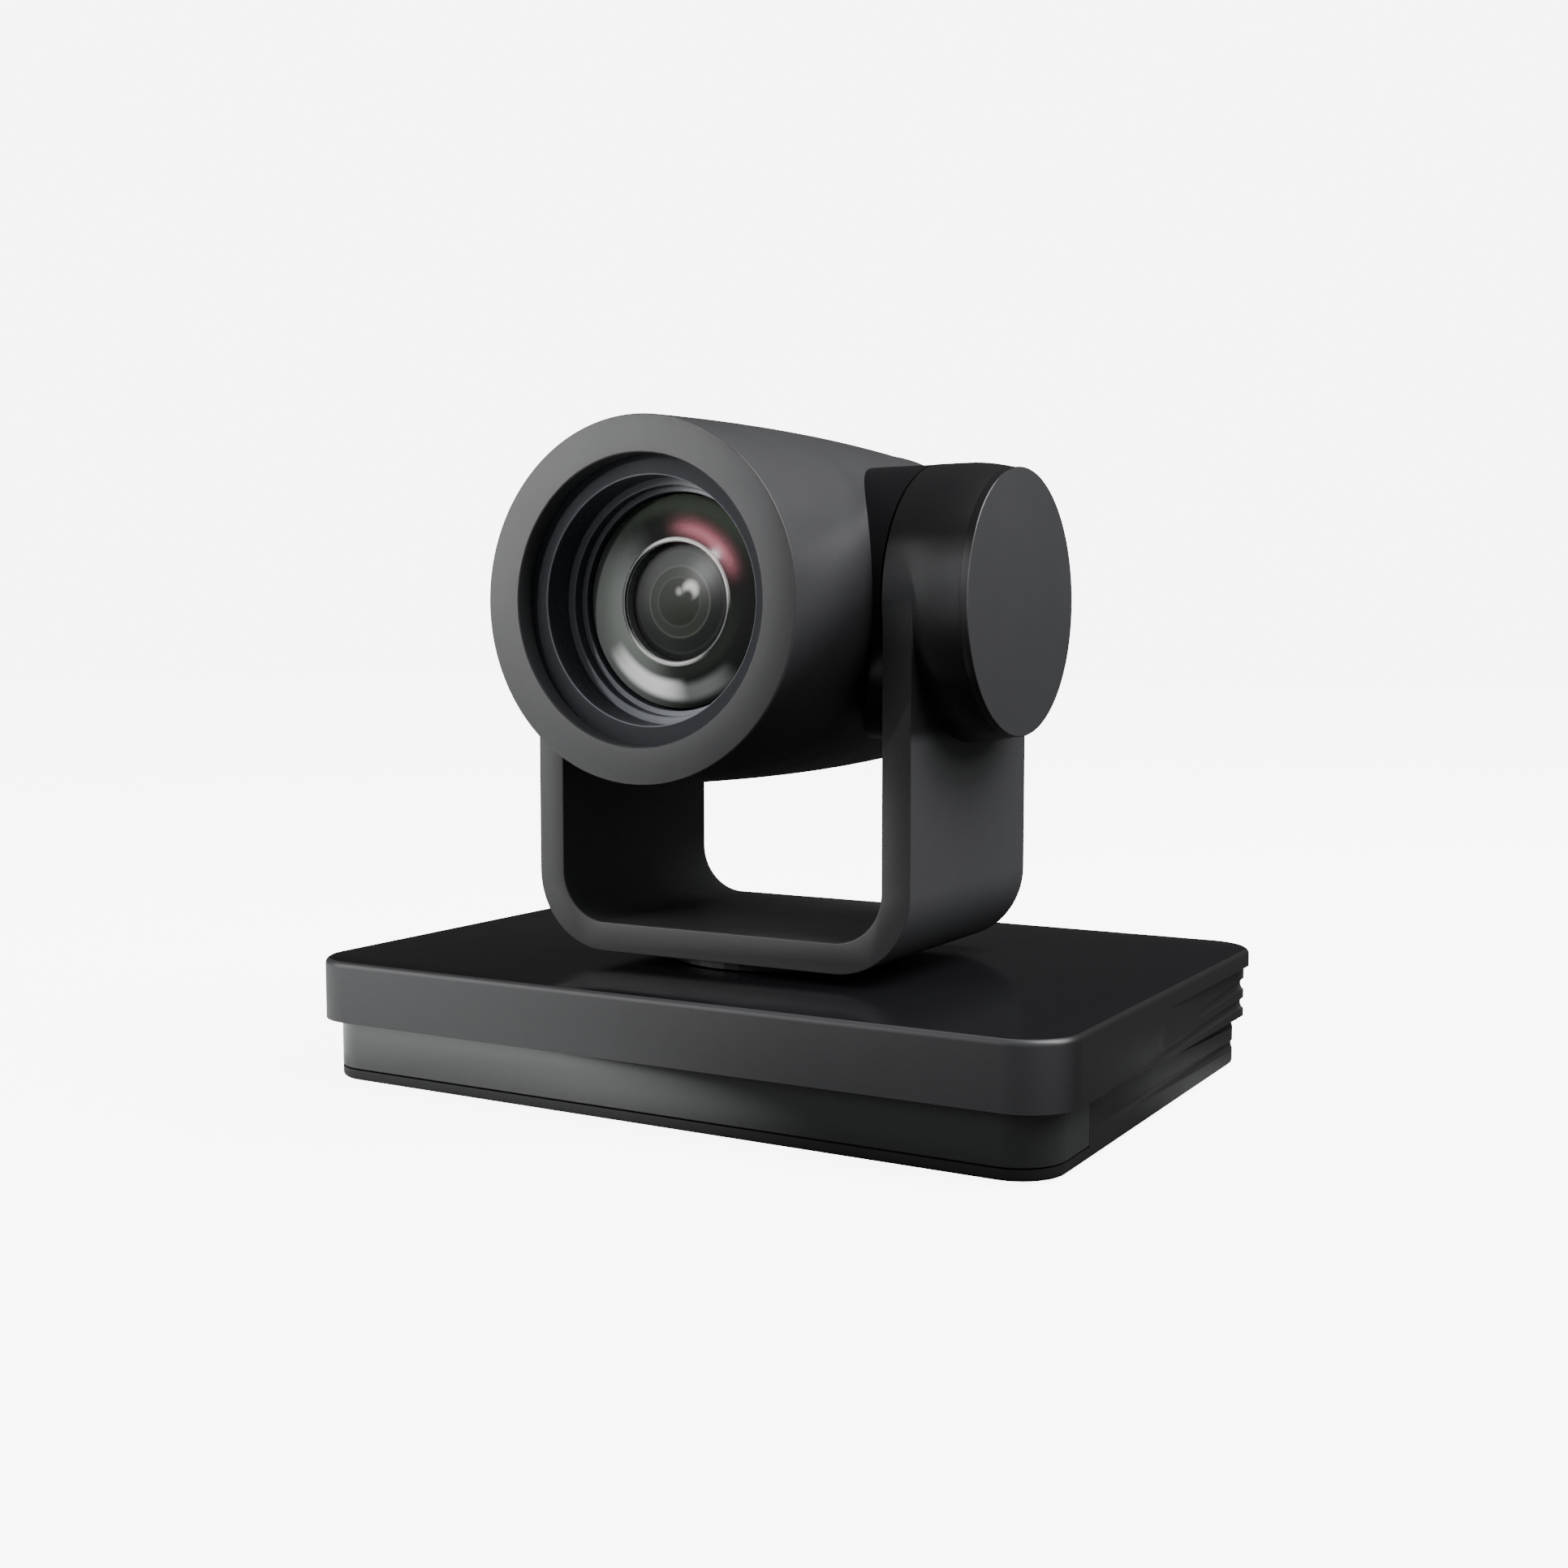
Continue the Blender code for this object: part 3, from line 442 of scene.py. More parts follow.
# Boards, drives and bearings inside the base: printed boards under green resist, a folded alloy
# chassis with the pan motor, two ring bearings, a nylon pulley and pinion, and a rubber belt.
resist = Coating("solder_resist", Roughness=0.35)
tracks = resist.wire.node("ShaderNodeTexBrick", {"offset": 0.5}, {
    "Vector": resist.place(), "Scale": 160.0, "Color1": (0.014, 0.10, 0.045, 1),
    "Color2": (0.018, 0.13, 0.058, 1), "Mortar": (0.03, 0.19, 0.09, 1), "Mortar Size": 0.03})
resist.link(Base_Color=tracks)
resist.link(Normal=resist.bump(resist.noise(500.0), 0.02 * mm, 0.4))
nylon = moulded("nylon", (0.70, 0.69, 0.65), 0.45, 0.4)
alloy = metal("cast_alloy", (0.58, 0.58, 0.60), 0.42)
belt_rubber = moulded("belt_rubber", (0.025, 0.024, 0.024), 0.7, 1.0, 0.3)
matt_black = moulded("matt_black", (0.016, 0.017, 0.020), 0.42, 0.6, 0.35)
inner_finishes = {
    resist.material: ("main_board", "front_board", "sensor_board"),
    alloy: ("drive_chassis", "left_trunnion", "right_trunnion"),
    bright_steel: ("pan_bearing_lower", "pan_bearing_upper", "pan_motor", "tilt_bearing_left",
                   "tilt_bearing_right", "tilt_motor", "tilt_motor_bracket", "guide_rod_1",
                   "guide_rod_2"),
    nylon: ("pan_pulley", "pan_pinion", "tilt_pulley", "tilt_pinion"),
    belt_rubber: ("pan_belt", "tilt_belt"),
    matt_black: ("pan_hub", "lens_barrel", "zoom_housing", "zoom_carriage", "focus_carriage"),
}


def finish(material, *nodes):
    """Gives CAD nodes that stay in sight a material of their own."""
    for node in nodes:
        cad[node].data.materials.clear()
        cad[node].data.materials.append(material)


for material, nodes in inner_finishes.items():
    finish(material, *nodes)

# Sockets and rear panel: plated steel shells and black moulded bodies soldered to the main board,
# looking out through a black panel. Gilt contacts sit on a tongue or in the roof of each mouth.
gilt = metal("gilt_contact", (0.83, 0.62, 0.25), 0.22)
plated = metal("plated_shell", (0.62, 0.62, 0.64), 0.24, (6, 1, 1))


def tongue(name, socket, width, low, high, contacts):
    """An insulating tongue inside a mouth, with a row of contacts along its top."""
    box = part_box(socket)
    middle = (box[0].x + box[1].x) / 2
    back = box[1].y - 12 * mm
    front = box[1].y - 2.5 * mm
    slab = block(name, (middle - width / 2, back, low), (middle + width / 2, front, high))
    round_edges(slab, lambda a, b: min(a.y, b.y) > front - 0.01 * mm, 0.25 * mm, 2)
    mount(slab, "base", "hood", matt_black)
    pitch = width / (contacts + 0.6)
    for number in range(contacts):
        x = middle + (number - (contacts - 1) / 2) * pitch
        pin = block(f"{name}_contact_{number + 1}", (x - pitch * 0.28, back, high - 0.02 * mm),
                    (x + pitch * 0.28, front - 0.5 * mm, high + 0.12 * mm))
        round_edges(pin, lambda a, b: min(a.z, b.z) > high + 0.1 * mm, 0.05 * mm, 1)
        mount(pin, "base", "brass", gilt)


def shell_socket(socket, mouth_low, mouth_high, depth):
    """A folded steel shell: a rounded box, its mouth cut out and its front edge softened."""
    low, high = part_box(socket)
    shell = block(f"{socket}_shell", low, high, 0.8 * mm, "Y", 4)
    tool = block("tool", (mouth_low.x, high.y - depth, mouth_low.z), (mouth_high.x, far, mouth_high.z),
                 0.5 * mm, "Y", 4)
    work(shell, tool)
    return mount(shell, "base", "steel", plated, socket)


def mouth(socket, width, low, high):
    """The lower and upper corner of a socket's mouth, in the middle of its shell."""
    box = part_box(socket)
    middle = (box[0].x + box[1].x) / 2
    return Vector((middle - width / 2, 0, low)), Vector((middle + width / 2, 0, high))


shell_socket("hdmi_socket", *mouth("hdmi_socket", 14.0 * mm, 8.4 * mm, 13.2 * mm), 12 * mm)
tongue("hdmi_tongue", "hdmi_socket", 11 * mm, 10.4 * mm, 11.2 * mm, 9)
shell_socket("usb_socket", *mouth("usb_socket", 13.0 * mm, 8.5 * mm, 14.2 * mm), 12 * mm)
tongue("usb_tongue", "usb_socket", 11 * mm, 11.6 * mm, 13.3 * mm, 4)
shell_socket("lan_socket", *mouth("lan_socket", 12.0 * mm, 10.2 * mm, 17.8 * mm), 12 * mm)
tongue("lan_wires", "lan_socket", 9.5 * mm, 16.6 * mm, 17.0 * mm, 8)
lan_low, lan_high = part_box("lan_socket")
for side, glow in ((-1, (0.02, 0.30, 0.05)), (1, (0.55, 0.30, 0.02))):
    middle = (lan_low.x + lan_high.x) / 2 + side * 5.6 * mm
    lamp = block(f"lan_lamp_{'left' if side > 0 else 'right'}",
                 (middle - 1.3 * mm, lan_high.y - 2 * mm, 18.6 * mm),
                 (middle + 1.3 * mm, lan_high.y + 0.2 * mm, 20.6 * mm), 0.3 * mm, "Y", 3)
    lamp_finish = Coating(f"lamp_{side}", Roughness=0.2, Coat_Weight=0.4)
    lamp_finish.link(Base_Color=lamp_finish.mix(lamp_finish.noise(600.0), glow, [c * 1.3 for c in glow]))
    mount(lamp, "base", "nylon", lamp_finish.material)

finish(matt_black, "serial_socket", "dc_socket", "power_switch", "ir_receiver")
finish(plated, "sdi_socket")
finish(nylon, "status_light")
finish(ribbed_black, "rear_panel")
finish(moulded("rocker_gloss", (0.015, 0.015, 0.017), 0.14, 0.1), "power_rocker")

# Front window: one strip of smoked acrylic, polished on its face, bent round both front corners
# and snapped on to the lower shell above its ledge.
smoked = Coating("smoked_acrylic", Specular_IOR_Level=0.8, Coat_Weight=0.5, Coat_Roughness=0.03)
haze = smoked.noise(16.0)
smoked.link(Base_Color=smoked.mix(haze, (0.022, 0.023, 0.023), (0.030, 0.032, 0.031)))
smoked.link(Roughness=0.10 + haze * 0.05)
smoked.link(Normal=smoked.bump(smoked.noise(22.0, 1.0), 0.05 * mm, 0.25))


def outside(point):
    """Whether a point is on the outer face of the window strip, its round corners included."""
    x = max(abs(point.x) - (window_high.x - shell_corner), 0)
    y = max(window_low.y + shell_corner - point.y, 0)
    return math.hypot(x, y) > shell_corner - 0.3 * mm


window_wall = 1.8 * mm
window = block("window_strip", (window_low.x, window_low.y, window_low.z),
               (window_high.x, 20 * mm, window_high.z), shell_corner, segments=16)
work(window, block("tool", (window_low.x + window_wall, window_low.y + window_wall, -far),
                   (window_high.x - window_wall, far, far), shell_corner - window_wall, segments=16))
work(window, block("tool", (-far, window_high.y, -far), (far, far, far)))
round_edges(window, lambda a, b: (min(a.z, b.z) > window_high.z - 0.01 * mm
                                  or max(a.z, b.z) < window_low.z + 0.01 * mm)
            and outside(a) and outside(b), 0.35 * mm, 3)
mount(window, "base", "window", smoked.material, "front_window")

# Top cover: a deep black moulding that closes the base. Its top is polished, its front satin, and its
# ribbed sides carry painted shade that makes them darker; they lean in below a lip. The turntable passes
# through it.
cover_corner = 14 * mm
cover_inside = ((-102.6 * mm, -74.4 * mm, -far), (102.6 * mm, 74.4 * mm, 30.9 * mm))
lean_start, lean_top = -4 * mm, 28.4 * mm
cover = block("top_cover_looks", cover_low, cover_high, cover_corner, segments=16)
round_edges(cover, lambda a, b: min(a.z, b.z) > cover_high.z - 0.01 * mm, 1.6 * mm, 5)
work(cover, block("tool", *cover_inside, 12 * mm))
work(cover, slope("tool", [(-wall_end, -wall_end), (wall_end, -wall_end), (wall_end, seam_rear),
                           (seam_bend, seam_front), (-wall_end, seam_front)], -far, far, "X"))
for side in (1, -1):
    work(cover, slope("tool", [(side * far, lean_start), (side * far, far),
                               (side * (cover_high.x - cover_lean * 1.6), far),
                               (side * cover_high.x, lean_start)], -mm, lean_top, "Z"))
cut_grooves(cover, cover_high.x, ((-2 * mm, 21.7 * mm, 22.0 * mm, 1.6 * mm, 5.2 * mm),
                                  (-16 * mm, 18.2 * mm, 16.4 * mm, 1.5 * mm, 5.1 * mm),
                                  (seam_bend, groove_front, groove_rear, 1.2 * mm, 5.0 * mm)))
hub_low, hub_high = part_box("pan_hub")
work(cover, bore_tool((hub_low, hub_high), 18.3 * mm, 25 * mm, 40 * mm, 96))
work(cover, block("tool", opening_low, opening_high))
polished_top = moulded("polished_top", (0.007, 0.007, 0.008), 0.15, 0.08, 0.12)
cover_coat = Coating("cover_black", Specular_IOR_Level=0.45)
_, length, _ = cover_coat.axes()
# Painted shade: away from its front and rear bands, the cover is painted darker, which shows on its
# sides.
shaded_sides = (cover_coat.ease(length, -75.5 * mm, -65 * mm)
             * cover_coat.ease(length, 76 * mm, 66 * mm))
front_black = cover_coat.mix(cover_coat.noise(28.0), (0.039, 0.0395, 0.042), (0.047, 0.0475, 0.051))
shade_painted_satin(cover_coat, front_black, (0.013, 0.013, 0.014), shaded_sides, 0.42, 0.06)
mount(cover, "base", "satin", cover_coat.material, "top_cover")
cover.data.materials.append(polished_top)
for face in cover.data.polygons:
    if face.center.z > cover_high.z - 1.3 * mm and face.normal.z > 0.9:
        face.material_index = 1

# Yoke: one strap moulding bent up on both sides, each arm ending in a round drum that holds the bearing,
# and on the right the tilt drive. Satin; the drums are glossier and painted darker as shade, with a pale
# band round their middle that is a painted highlight.
yoke_low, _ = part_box("yoke")
cap_low, cap_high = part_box("right_cap")
axis_y = (cap_low.y + cap_high.y) / 2
axis_z = (cap_low.z + cap_high.z) / 2
strap_inner, strap_outer = 47.95 * mm, 55.9 * mm
strap_top = 43.8 * mm
half_depth = 35.5 * mm
drum_radius, rim_radius, cup_radius = 35.5 * mm, 33.9 * mm, 31 * mm
drum_end = cap_low.x
tilt_centre = (0, axis_y, axis_z)
yoke = block("yoke_looks", (-strap_outer, axis_y - half_depth, yoke_low.z),
             (strap_outer, axis_y + half_depth, axis_z), 21 * mm, "Y", 24, lower_only=True)
work(yoke, block("tool", (-strap_inner, -far, strap_top), (strap_inner, far, 2 * far), 13.3 * mm,
                 "Y", 20, lower_only=True))


def strap_edge(a, b):
    """Whether an edge runs round the front or the rear of the strap, below the drums."""
    at_face = abs(a.y - b.y) < 0.01 * mm and abs(abs(a.y - axis_y) - half_depth) < 0.01 * mm
    return at_face and min(a.z, b.z) < axis_z - 0.1 * mm


round_edges(yoke, strap_edge, 0.35 * mm, 3)
for side in (1, -1):
    bpy.ops.mesh.primitive_cylinder_add(vertices=96, radius=cup_radius + 1.4 * mm, depth=20 * mm,
                                        location=(side * 54 * mm, axis_y, axis_z),
                                        rotation=(0, math.pi / 2, 0))
    bite = bpy.context.object
    bpy.ops.object.transform_apply(location=True, rotation=True, scale=True)
    work(yoke, bite)
shaft_hole, cup_floor = 11.3 * mm, 50.6 * mm
for side in (1, -1):
    inner = strap_inner - 0.08 * mm
    crown = [(drum_radius - (drum_radius - rim_radius) * (i / 12) ** 2,
              strap_outer + (drum_end - strap_outer) * i / 12) for i in range(12, -1, -1)]
    profile = [(shaft_hole, cup_floor), (cup_radius, cup_floor), (cup_radius, drum_end)] + crown
    profile += [(drum_radius, inner), (shaft_hole, inner)]
    drum = lathe("tool", [(r, side * x) for r, x in profile], tilt_centre, "X", 160)
    work(yoke, drum, "UNION")
yoke_coat = Coating("yoke_black", Specular_IOR_Level=0.5)
across, _, height = yoke_coat.axes()
# Painted shade: the drums below their middle outside the strap, and everything above the drums' middle,
# are painted darker and made glossier. A pale band at the height of the tilt axis is a painted
# highlight.
outer_side = yoke_coat.ease(yoke_coat.wire.math("ABSOLUTE", across), strap_outer - 0.3 * mm,
                            strap_outer - 0.1 * mm)
below = outer_side * yoke_coat.ease(height, axis_z - mm, axis_z - 15 * mm)
below = below * yoke_coat.ease(height, axis_z - 35 * mm, axis_z - 31 * mm)
above = yoke_coat.ease(height, axis_z + 9 * mm, axis_z + 17 * mm)
shade_and_gloss = yoke_coat.wire.math("MAXIMUM", below, above)
waist_highlight = (yoke_coat.ease(height, axis_z - 13 * mm, axis_z)
         * yoke_coat.ease(height, axis_z + 13 * mm, axis_z + 5 * mm))
satin = yoke_coat.mix(yoke_coat.noise(28.0), (0.042, 0.0425, 0.045), (0.050, 0.0505, 0.054))
satin = yoke_coat.mix(waist_highlight, satin, (0.088, 0.089, 0.095))
shade_painted_satin(yoke_coat, satin, (0.011, 0.011, 0.012), shade_and_gloss, 0.42, 0.12, 0.08)
mount(yoke, "pan_fork", "satin", yoke_coat.material, "yoke")

# Side caps: flat round covers pressed into the drums. The face is plain satin, and the crisp rim
# has the finish of the drum around it.
cap_black = moulded("cap_black", (0.035, 0.0355, 0.038), 0.42, 0.5, 0.5)
for side, word in ((1, "right"), (-1, "left")):
    inner, outer = drum_end + 0.05 * mm, cap_high.x + 0.4 * mm
    rim = 0.35 * mm
    profile = [(0, inner), (rim_radius, inner), (rim_radius, outer - rim)]
    profile += arc(rim, (rim_radius - rim, outer - rim), 0, 90, 4)[1:] + [(0, outer)]
    cap = lathe(f"{word}_cap_looks", [(r, side * x) for r, x in profile], tilt_centre, "X", 160,
                ring=False)
    mount(cap, "pan_fork", "satin", cap_black, f"{word}_cap")
    cap.data.materials.append(yoke_coat.material)
    for face in cap.data.polygons:
        if abs(face.normal.x) < 0.97:
            face.material_index = 1

# Head shell: a barrel about the lens axis, a little fuller at the middle, satin with painted shade that
# darkens its lower half, with a black neck boss on each side that meets the yoke. Moulded hollow, open
# at both ends.
head_low, head_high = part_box("head_shell")
lens_z = axis_z
lens_centre = (0, 0, lens_z)
front_y, split_y = head_low.y, head_high.y
front_radius, full_radius = 44.0 * mm, 45.6 * mm
fullest_y = -12 * mm


def barrel_radius(y):
    """The barrel swells to its fullest part and narrows a little behind it."""
    if y < fullest_y:
        share = (y - fullest_y) / (front_y - fullest_y)
        return full_radius - (full_radius - front_radius) * share ** 2
    share = (y - fullest_y) / (split_y - fullest_y)
    return full_radius - 1.1 * mm * share ** 2


shell_front = front_y + 0.55 * mm
stations = [split_y + (shell_front - split_y) * i / 36 for i in range(37)]
barrel = [(barrel_radius(y), y) for y in stations]
profile = [(0, split_y)] + barrel[:-1] + [(front_radius, shell_front), (0, shell_front)]
head = lathe("head_looks", profile, lens_centre, "Y", 192, ring=False)
neck_out = head_high.x
neck_radius = 35.4 * mm
neck = lathe("tool", [(0, neck_out), (neck_radius, neck_out), (neck_radius, -neck_out), (0, -neck_out)],
             tilt_centre, "X", 192, ring=False)
work(head, neck, "UNION")
shell_inner, bezel_seat, seat_depth = 42.3 * mm, 42.85 * mm, -70.8 * mm
hollow = lathe("tool", [(0, far), (shell_inner, far), (shell_inner, seat_depth),
                        (bezel_seat, seat_depth), (bezel_seat, -far), (0, -far)],
               lens_centre, "Y", 128, ring=False)
neck_inner, neck_wall = 32.8 * mm, 44.9 * mm
neck_hollow = lathe("tool", [(0, neck_wall), (neck_inner, neck_wall), (neck_inner, -neck_wall),
                             (0, -neck_wall)], tilt_centre, "X", 128, ring=False)
work(hollow, neck_hollow, "UNION")
work(head, hollow)
head_coat = Coating("head_black", Specular_IOR_Level=0.45)
_, length, height = head_coat.axes()
# Painted shade: the barrel is darker below a line that rises towards the rear, and is level from behind
# the neck's front.
fall = height - lens_z - (head_coat.wire.math("MINIMUM", length, -32 * mm) + 50 * mm) * 0.8
shade = head_coat.ease(fall, 20 * mm, -8 * mm)
satin = head_coat.mix(head_coat.noise(28.0), (0.036, 0.0365, 0.039), (0.044, 0.0445, 0.048))
shade_painted_satin(head_coat, satin, (0.008, 0.008, 0.009), shade, 0.42)
mount(head, "head", "gloss", head_coat.material, "head_shell")
neck_gloss = moulded("neck_gloss", (0.008, 0.008, 0.009), 0.30, 0.12, 0.25)
head.data.materials.append(neck_gloss)
# Painted shadow: the neck's flat ends, in the narrow gap against the drums, are painted near black.
head.data.materials.append(moulded("painted_seam_shadow", (0.002, 0.002, 0.002), 0.7, 0.5, 0.05))
for face in head.data.polygons:
    reach = math.hypot(face.center.y - axis_y, face.center.z - axis_z)
    on_neck = abs(reach - neck_radius) < 0.5 * mm and abs(face.center.x) > 5 * mm
    if on_neck and abs(face.normal.x) < 0.1:
        face.material_index = 1
    elif abs(face.normal.x) > 0.95 and abs(face.center.x) > neck_out - 0.1 * mm:
        face.material_index = 2

# Front bezel: a flat satin ring pressed into the front of the shell and lapping its edge. Its
# outer edge is softly rounded, and a fine chamfer runs round the lens hole.
bezel_low, bezel_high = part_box("front_bezel")
bezel_outer = 42.75 * mm
hole_radius = 35.0 * mm
bezel_face = bezel_low.y
lap = shell_front - 0.04 * mm
edge, chamfer = 0.2 * mm, 0.25 * mm
profile = [(bezel_outer, bezel_high.y), (bezel_outer, lap), (front_radius, lap)]
profile += arc(edge, (front_radius - edge, bezel_face + edge), 0, -90, 3)
profile += [(hole_radius + chamfer, bezel_face), (hole_radius, bezel_face + chamfer),
            (hole_radius, bezel_high.y)]
bezel = lathe("bezel_looks", profile, lens_centre, "Y", 192)
mount(bezel, "head", "satin", satin_black, "front_bezel")

# Lens hood: a stepped matt baffle behind the bezel. Each step has a thin turned edge, painted pale as a
# highlight, and fine grooves that stop stray light.
hood_black = moulded("hood_black", (0.022, 0.024, 0.029), 0.5, 0.5, 0.12)
# Radius, front and rear of each step, in millimetres.
steps_down = ((30.1, -70.8, -62.0), (28.2, -62.0, -58.7), (26.9, -58.7, -54.5))
profile = [(40.5 * mm, -69.0 * mm), (40.5 * mm, -70.8 * mm)]
for number, (radius, start, end) in enumerate(steps_down):
    lip = 0.25
    profile += [((radius + lip) * mm, start * mm), (radius * mm, (start + lip) * mm)]
    count = int((end - start) / 1.05)
    for ridge in range(1, count):
        at = start + lip + (end - start - lip) * ridge / count
        profile += [((radius + 0.02) * mm, (at - 0.18) * mm), ((radius + 0.32) * mm, at * mm),
                    ((radius + 0.02) * mm, (at + 0.18) * mm)]
    profile += [(radius * mm, end * mm)]
profile += [(31.5 * mm, -54.5 * mm), (32.4 * mm, -69.0 * mm)]
hood = lathe("hood_looks", profile, lens_centre, "Y", 160)
mount(hood, "head", "hood", hood_black, "lens_hood")
# Painted highlight: the thin lip at the front of each step is pale grey.
hood.data.materials.append(moulded("hood_edge_highlight", (0.16, 0.17, 0.19), 0.30, 0.2, 0.6))
hood.data.materials.append(moulded("hood_bore", (0.034, 0.037, 0.044), 0.5, 0.5, 0.10))
for face in hood.data.polygons:
    depths = [face.center.y - start * mm for _, start, _ in steps_down]
    reach = math.hypot(face.center.x, face.center.z - lens_z)
    if reach < 30.5 * mm and any(0 < depth < 0.25 * mm for depth in depths):
        face.material_index = 1
    elif abs(face.normal.y) < 0.9 and face.center.y > steps_down[0][1] * mm:
        face.material_index = 2

# Optics: a bulging coated front lens, a polished cone and a retaining ring behind it, and a small deep
# inner lens with its own rings. The coloured arcs on the front lens, the light and dark crescents on the
# cone, the bright arcs on the ring and the glints on the inner lens are painted reflections.
glass_low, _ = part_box("front_glass")
_, ring_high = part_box("iris_ring")


def dome_profile(radius, front, rise, rim, count=18):
    """Half outline of a lens that bulges towards the front, flat behind."""
    sphere = (radius ** 2 + rise ** 2) / (2 * rise)
    reach = math.asin(radius / sphere)
    turns = [reach * (1 - i / count) for i in range(count)]
    curve = [(sphere * math.sin(t), front + sphere * (1 - math.cos(t))) for t in turns]
    back = front + rise + rim
    return [(0, back), (radius, back)] + curve + [(0, front)]


def around(coat):
    """Distance from the lens axis, and a function for soft sectors about a direction."""
    x, _, z = coat.axes()
    z = z - lens_z
    reach = coat.wire.math("SQRT", x * x + z * z) + 0.01 * mm

    def sector(angle, half_width):
        turn = math.radians(angle)
        closeness = (x * math.cos(turn) + z * math.sin(turn)) / reach
        return coat.ease(closeness, math.cos(math.radians(half_width)), 1.0)
    return x, z, reach, sector


def band(coat, reach, low, high, soft):
    """A soft ring between two distances from the axis."""
    return coat.ease(reach, low - soft, low + soft) * coat.ease(reach, high + soft, high - soft)


coated = Coating("coated_glass", Roughness=0.10, Specular_IOR_Level=0.025)
_, _, reach, sector = around(coated)
# Painted reflections: a magenta arc and a green arc in the coating's colours, over the faint green
# colour of the glass, which is also less clear where they lie.
magenta = sector(56, 50) * band(coated, reach, 16.5 * mm, 20 * mm, 3 * mm)
green = sector(80, 80) * band(coated, reach, 21.5 * mm, 27 * mm, 2.5 * mm)
tint_and_reflections = coated.mix(green, (0.020, 0.024, 0.022), (0.085, 0.105, 0.078))
tint_and_reflections = coated.mix(magenta, tint_and_reflections, (0.80, 0.29, 0.35))
coated.link(Base_Color=tint_and_reflections)
coated.link(Alpha=(0.05 + magenta * 0.85 + green * 0.55).clamped())
front_lens = lathe("front_lens", dome_profile(26.4 * mm, glass_low.y, 3.2 * mm, 1.6 * mm),
                   lens_centre, "Y", 128, ring=False)
mount(front_lens, "head", "glass", coated.material, "front_glass")

cell = Coating("cell_painted_reflections", Specular_IOR_Level=0.04)
_, _, reach, sector = around(cell)
# Painted reflections: a pale glow on the left, a near-white crescent at the lower left, a grey arc low
# down and a dark patch at the lower right.
left_glow = sector(195, 85)
crescent = sector(243, 36) * band(cell, reach, 19.5 * mm, 24 * mm, 1.1 * mm)
lower = sector(284, 34) * band(cell, reach, 20.5 * mm, 24.5 * mm, 1.2 * mm)
under = sector(310, 65) * band(cell, reach, 14 * mm, 18.5 * mm, 1.0 * mm)
body = cell.mix(left_glow, (0.007, 0.008, 0.0075), (0.17, 0.185, 0.175))
body = cell.mix(lower * 0.9, body, (0.16, 0.17, 0.165))
body = cell.mix(under * 0.9, body, (0.012, 0.016, 0.012))
body = cell.mix(crescent, body, (0.95, 0.97, 0.94))
cell.link(Base_Color=body)
cell.link(Roughness=0.40 + cell.noise(2400.0) * 0.05)
cone_outer, cone_inner = 26.2 * mm, 15.9 * mm
cone_back, cone_front = -56.9 * mm, -58.7 * mm
lens_seat = 14.6 * mm
profile = [(cone_outer, ring_high.y), (cone_outer, cone_back), (cone_inner, cone_front),
           (lens_seat, cone_front + 0.3 * mm), (lens_seat, ring_high.y)]
iris = lathe("iris_looks", profile, lens_centre, "Y", 128)
mount(iris, "head", "silver", cell.material, "iris_ring")
ring_face, ring_inner = cone_front - 0.25 * mm, 14.65 * mm
profile = [(cone_inner, cone_front + 0.05 * mm), (15.45 * mm, ring_face), (15.0 * mm, ring_face),
           (ring_inner, cone_front + 0.4 * mm), (ring_inner, cone_front + 1.2 * mm),
           (cone_inner, cone_front + 1.2 * mm)]
retainer = lathe("retaining_ring", profile, lens_centre, "Y", 128)
ring_painted_highlights = Coating("ring_painted_highlights", Specular_IOR_Level=0.5)
_, _, reach, sector = around(ring_painted_highlights)
# Painted highlights: near-white arcs at the upper right and, fainter, at the lower left of the ring.
ring_highlight = ring_painted_highlights.wire.math("MAXIMUM", sector(62, 75), sector(256, 55) * 0.6)
ring_painted_highlights.link(Base_Color=ring_painted_highlights.mix(ring_highlight, (0.030, 0.033, 0.031), (0.95, 0.95, 0.92)))
ring_painted_highlights.link(Roughness=0.30 + ring_painted_highlights.noise(300.0) * 0.15)
mount(retainer, "head", "silver", ring_painted_highlights.material)

inner_glass = Coating("inner_glass", Roughness=0.30, Specular_IOR_Level=0.12)
x, z, reach, sector = around(inner_glass)
shade = inner_glass.mix(sector(110, 130), (0.014, 0.015, 0.015), (0.048, 0.050, 0.049))
shade = inner_glass.mix(inner_glass.ease(reach, 9.2 * mm, 8.6 * mm), shade, (0.026, 0.029, 0.024))
shade = inner_glass.mix(inner_glass.ease(reach, 6.4 * mm, 5.6 * mm), shade, (0.015, 0.018, 0.013))
for radius, strength in ((8.8, 0.75), (12.6, 0.25), (6.1, 0.3)):
    line = band(inner_glass, reach, (radius - 0.15) * mm, (radius + 0.15) * mm, 0.35 * mm)
    shade = inner_glass.mix(line * strength, shade, (0.10, 0.105, 0.095))


def spot(right, up, size, soft):
    """A round highlight at a place on the inner lens."""
    side = x - right * mm
    rise = z - up * mm
    away = inner_glass.wire.math("SQRT", side * side + rise * rise)
    return inner_glass.ease(away, (size + soft) * mm, (size - soft) * mm)


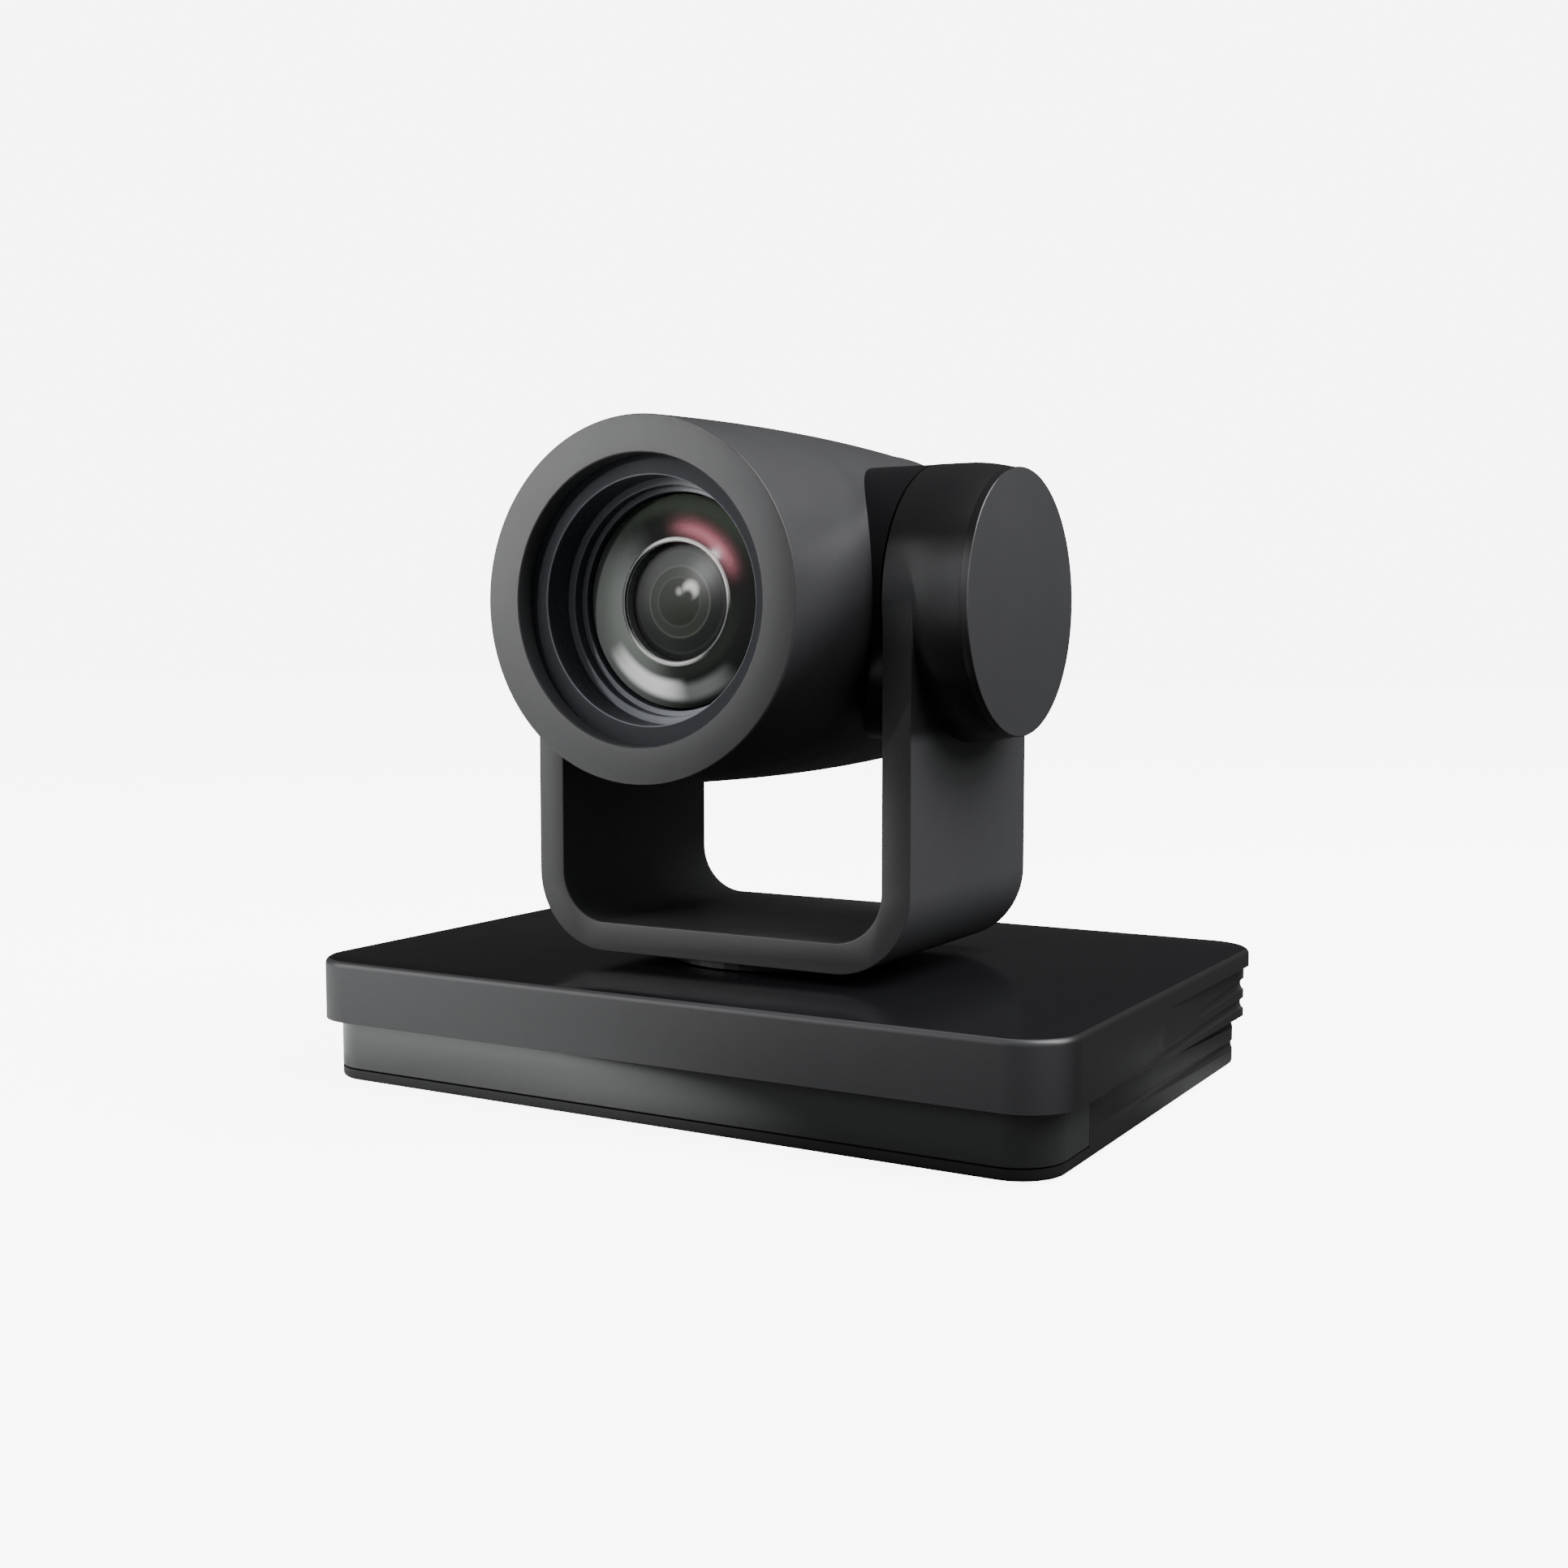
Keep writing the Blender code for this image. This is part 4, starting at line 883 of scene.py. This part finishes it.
hook = spot(3.4, 3.0, 2.0, 1.1) * (1 - spot(2.6, 1.3, 1.8, 1.0))
glints = inner_glass.wire.math("MAXIMUM", hook * 0.7, spot(0.2, 2.6, 0.8, 0.8) * 0.35)
inner_glass.link(Base_Color=inner_glass.mix(glints, shade, (0.95, 0.96, 0.93)))
inner_front = -57.4 * mm
profile = [(0, inner_front + 4 * mm)] + dome_profile(lens_seat, inner_front, 1.6 * mm, 2.4 * mm)[1:]
inner_lens = lathe("inner_lens_looks", profile, lens_centre, "Y", 96, ring=False)
mount(inner_lens, "head", "glass", inner_glass.material, "inner_lens")

# Rear cover: a shallow dome that closes the head, moulded in the barrel's finish with the same painted
# shade below, and pushed on behind it.
rear_low, rear_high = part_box("rear_cover")
edge_y = split_y + 8 * mm
rise = rear_high.y - edge_y
outer_radius = 44.4 * mm
sphere = (outer_radius ** 2 + rise ** 2) / (2 * rise)
reach = math.asin(outer_radius / sphere)
turns = [reach * (1 - i / 28) for i in range(28)]
outer_dome = [(sphere * math.sin(t), rear_high.y - sphere * (1 - math.cos(t))) for t in turns]
profile = [(0, rear_high.y)] + outer_dome[::-1] + [(outer_radius, rear_low.y), (42 * mm, rear_low.y)]
profile += [(42 * mm, edge_y - mm), (30 * mm, edge_y + 2 * mm), (0, rear_high.y - 2.4 * mm)]
rear = lathe("rear_cover_looks", profile, lens_centre, "Y", 192, ring=False)
mount(rear, "head", "gloss", head_coat.material, "rear_cover")

# Studio: a pale seamless floor that the camera sees bright and the object sees dark, but for a
# sweep at the front left that the window mirrors. A broad key light stands at the front left, a
# softbox hangs above on the right, with a weak fill beside it and a narrow spot on the lens.
paper_glow = 7.0
bpy.ops.mesh.primitive_plane_add(size=8.0, location=(0, 0, 0))
floor = bpy.context.object
floor.name = "floor"
floor_paint = Coating("pale_floor", Roughness=0.8, Specular_IOR_Level=0.0, Emission_Strength=paper_glow)
seen = floor_paint.wire.node("ShaderNodeLightPath", None, None, "Is Camera Ray")
x, y, _ = floor_paint.axes()
sweep = floor_paint.ease(x - y * 0.8, 0.115, 0.035) * floor_paint.ease(y, 0.10, -0.05)
hidden = floor_paint.mix(sweep, (0.035, 0.035, 0.036), (0.90, 0.92, 0.91))
floor_paint.link(Base_Color=floor_paint.mix(seen, hidden, (0.86, 0.86, 0.86)))
floor_paint.link(Emission_Color=floor_paint.mix(seen, (0, 0, 0), (1, 1, 1)))
floor.data.materials.append(floor_paint.material)


def studio_light(name, place, target, width, height, power):
    """A rectangular soft light at a place, facing a target."""
    bpy.ops.object.light_add(type="AREA", location=place)
    light = bpy.context.object
    light.name = name
    light.data.shape = "RECTANGLE"
    light.data.size = width
    light.data.size_y = height
    light.data.energy = power
    light.rotation_euler = (Vector(target) - Vector(place)).to_track_quat("-Z", "Y").to_euler()


studio_light("key_light", (-0.91, -0.82, 0.52), (0, 0, 0.09), 0.9, 0.9, 12.5)
studio_light("top_right", (0.71, 0.13, 1.16), (0, 0, 0.1), 0.8, 0.8, 30)
studio_light("right_fill", (1.15, 0.15, 0.72), (0, 0, 0.08), 0.5, 0.35, 7)
bpy.ops.object.light_add(type="SPOT", location=(-0.34, -0.98, 0.36))
snoot = bpy.context.object
snoot.name = "lens_snoot"
snoot.data.energy = 42
snoot.data.spot_size = math.radians(3.4)
snoot.data.spot_blend = 0.5
snoot.data.shadow_soft_size = 0.03
aim = Vector((0, -57 * mm, lens_z)) - snoot.location
snoot.rotation_euler = aim.to_track_quat("-Z", "Y").to_euler()

world = bpy.data.worlds.new("studio")
bpy.context.scene.world = world
world.use_nodes = True
sky = Wire(world.node_tree)
seen = sky.node("ShaderNodeLightPath", None, None, "Is Camera Ray")
backdrop = world.node_tree.nodes["Background"]
backdrop.inputs["Color"].default_value = (1, 1, 1, 1)
diffuse = sky.node("ShaderNodeLightPath", None, None, "Is Diffuse Ray")
backdrop_glow, soft_fill, dark_room = 7.1, 0.36, 0.05
world.node_tree.links.new((seen * backdrop_glow + diffuse * soft_fill + dark_room).socket,
                          backdrop.inputs["Strength"])
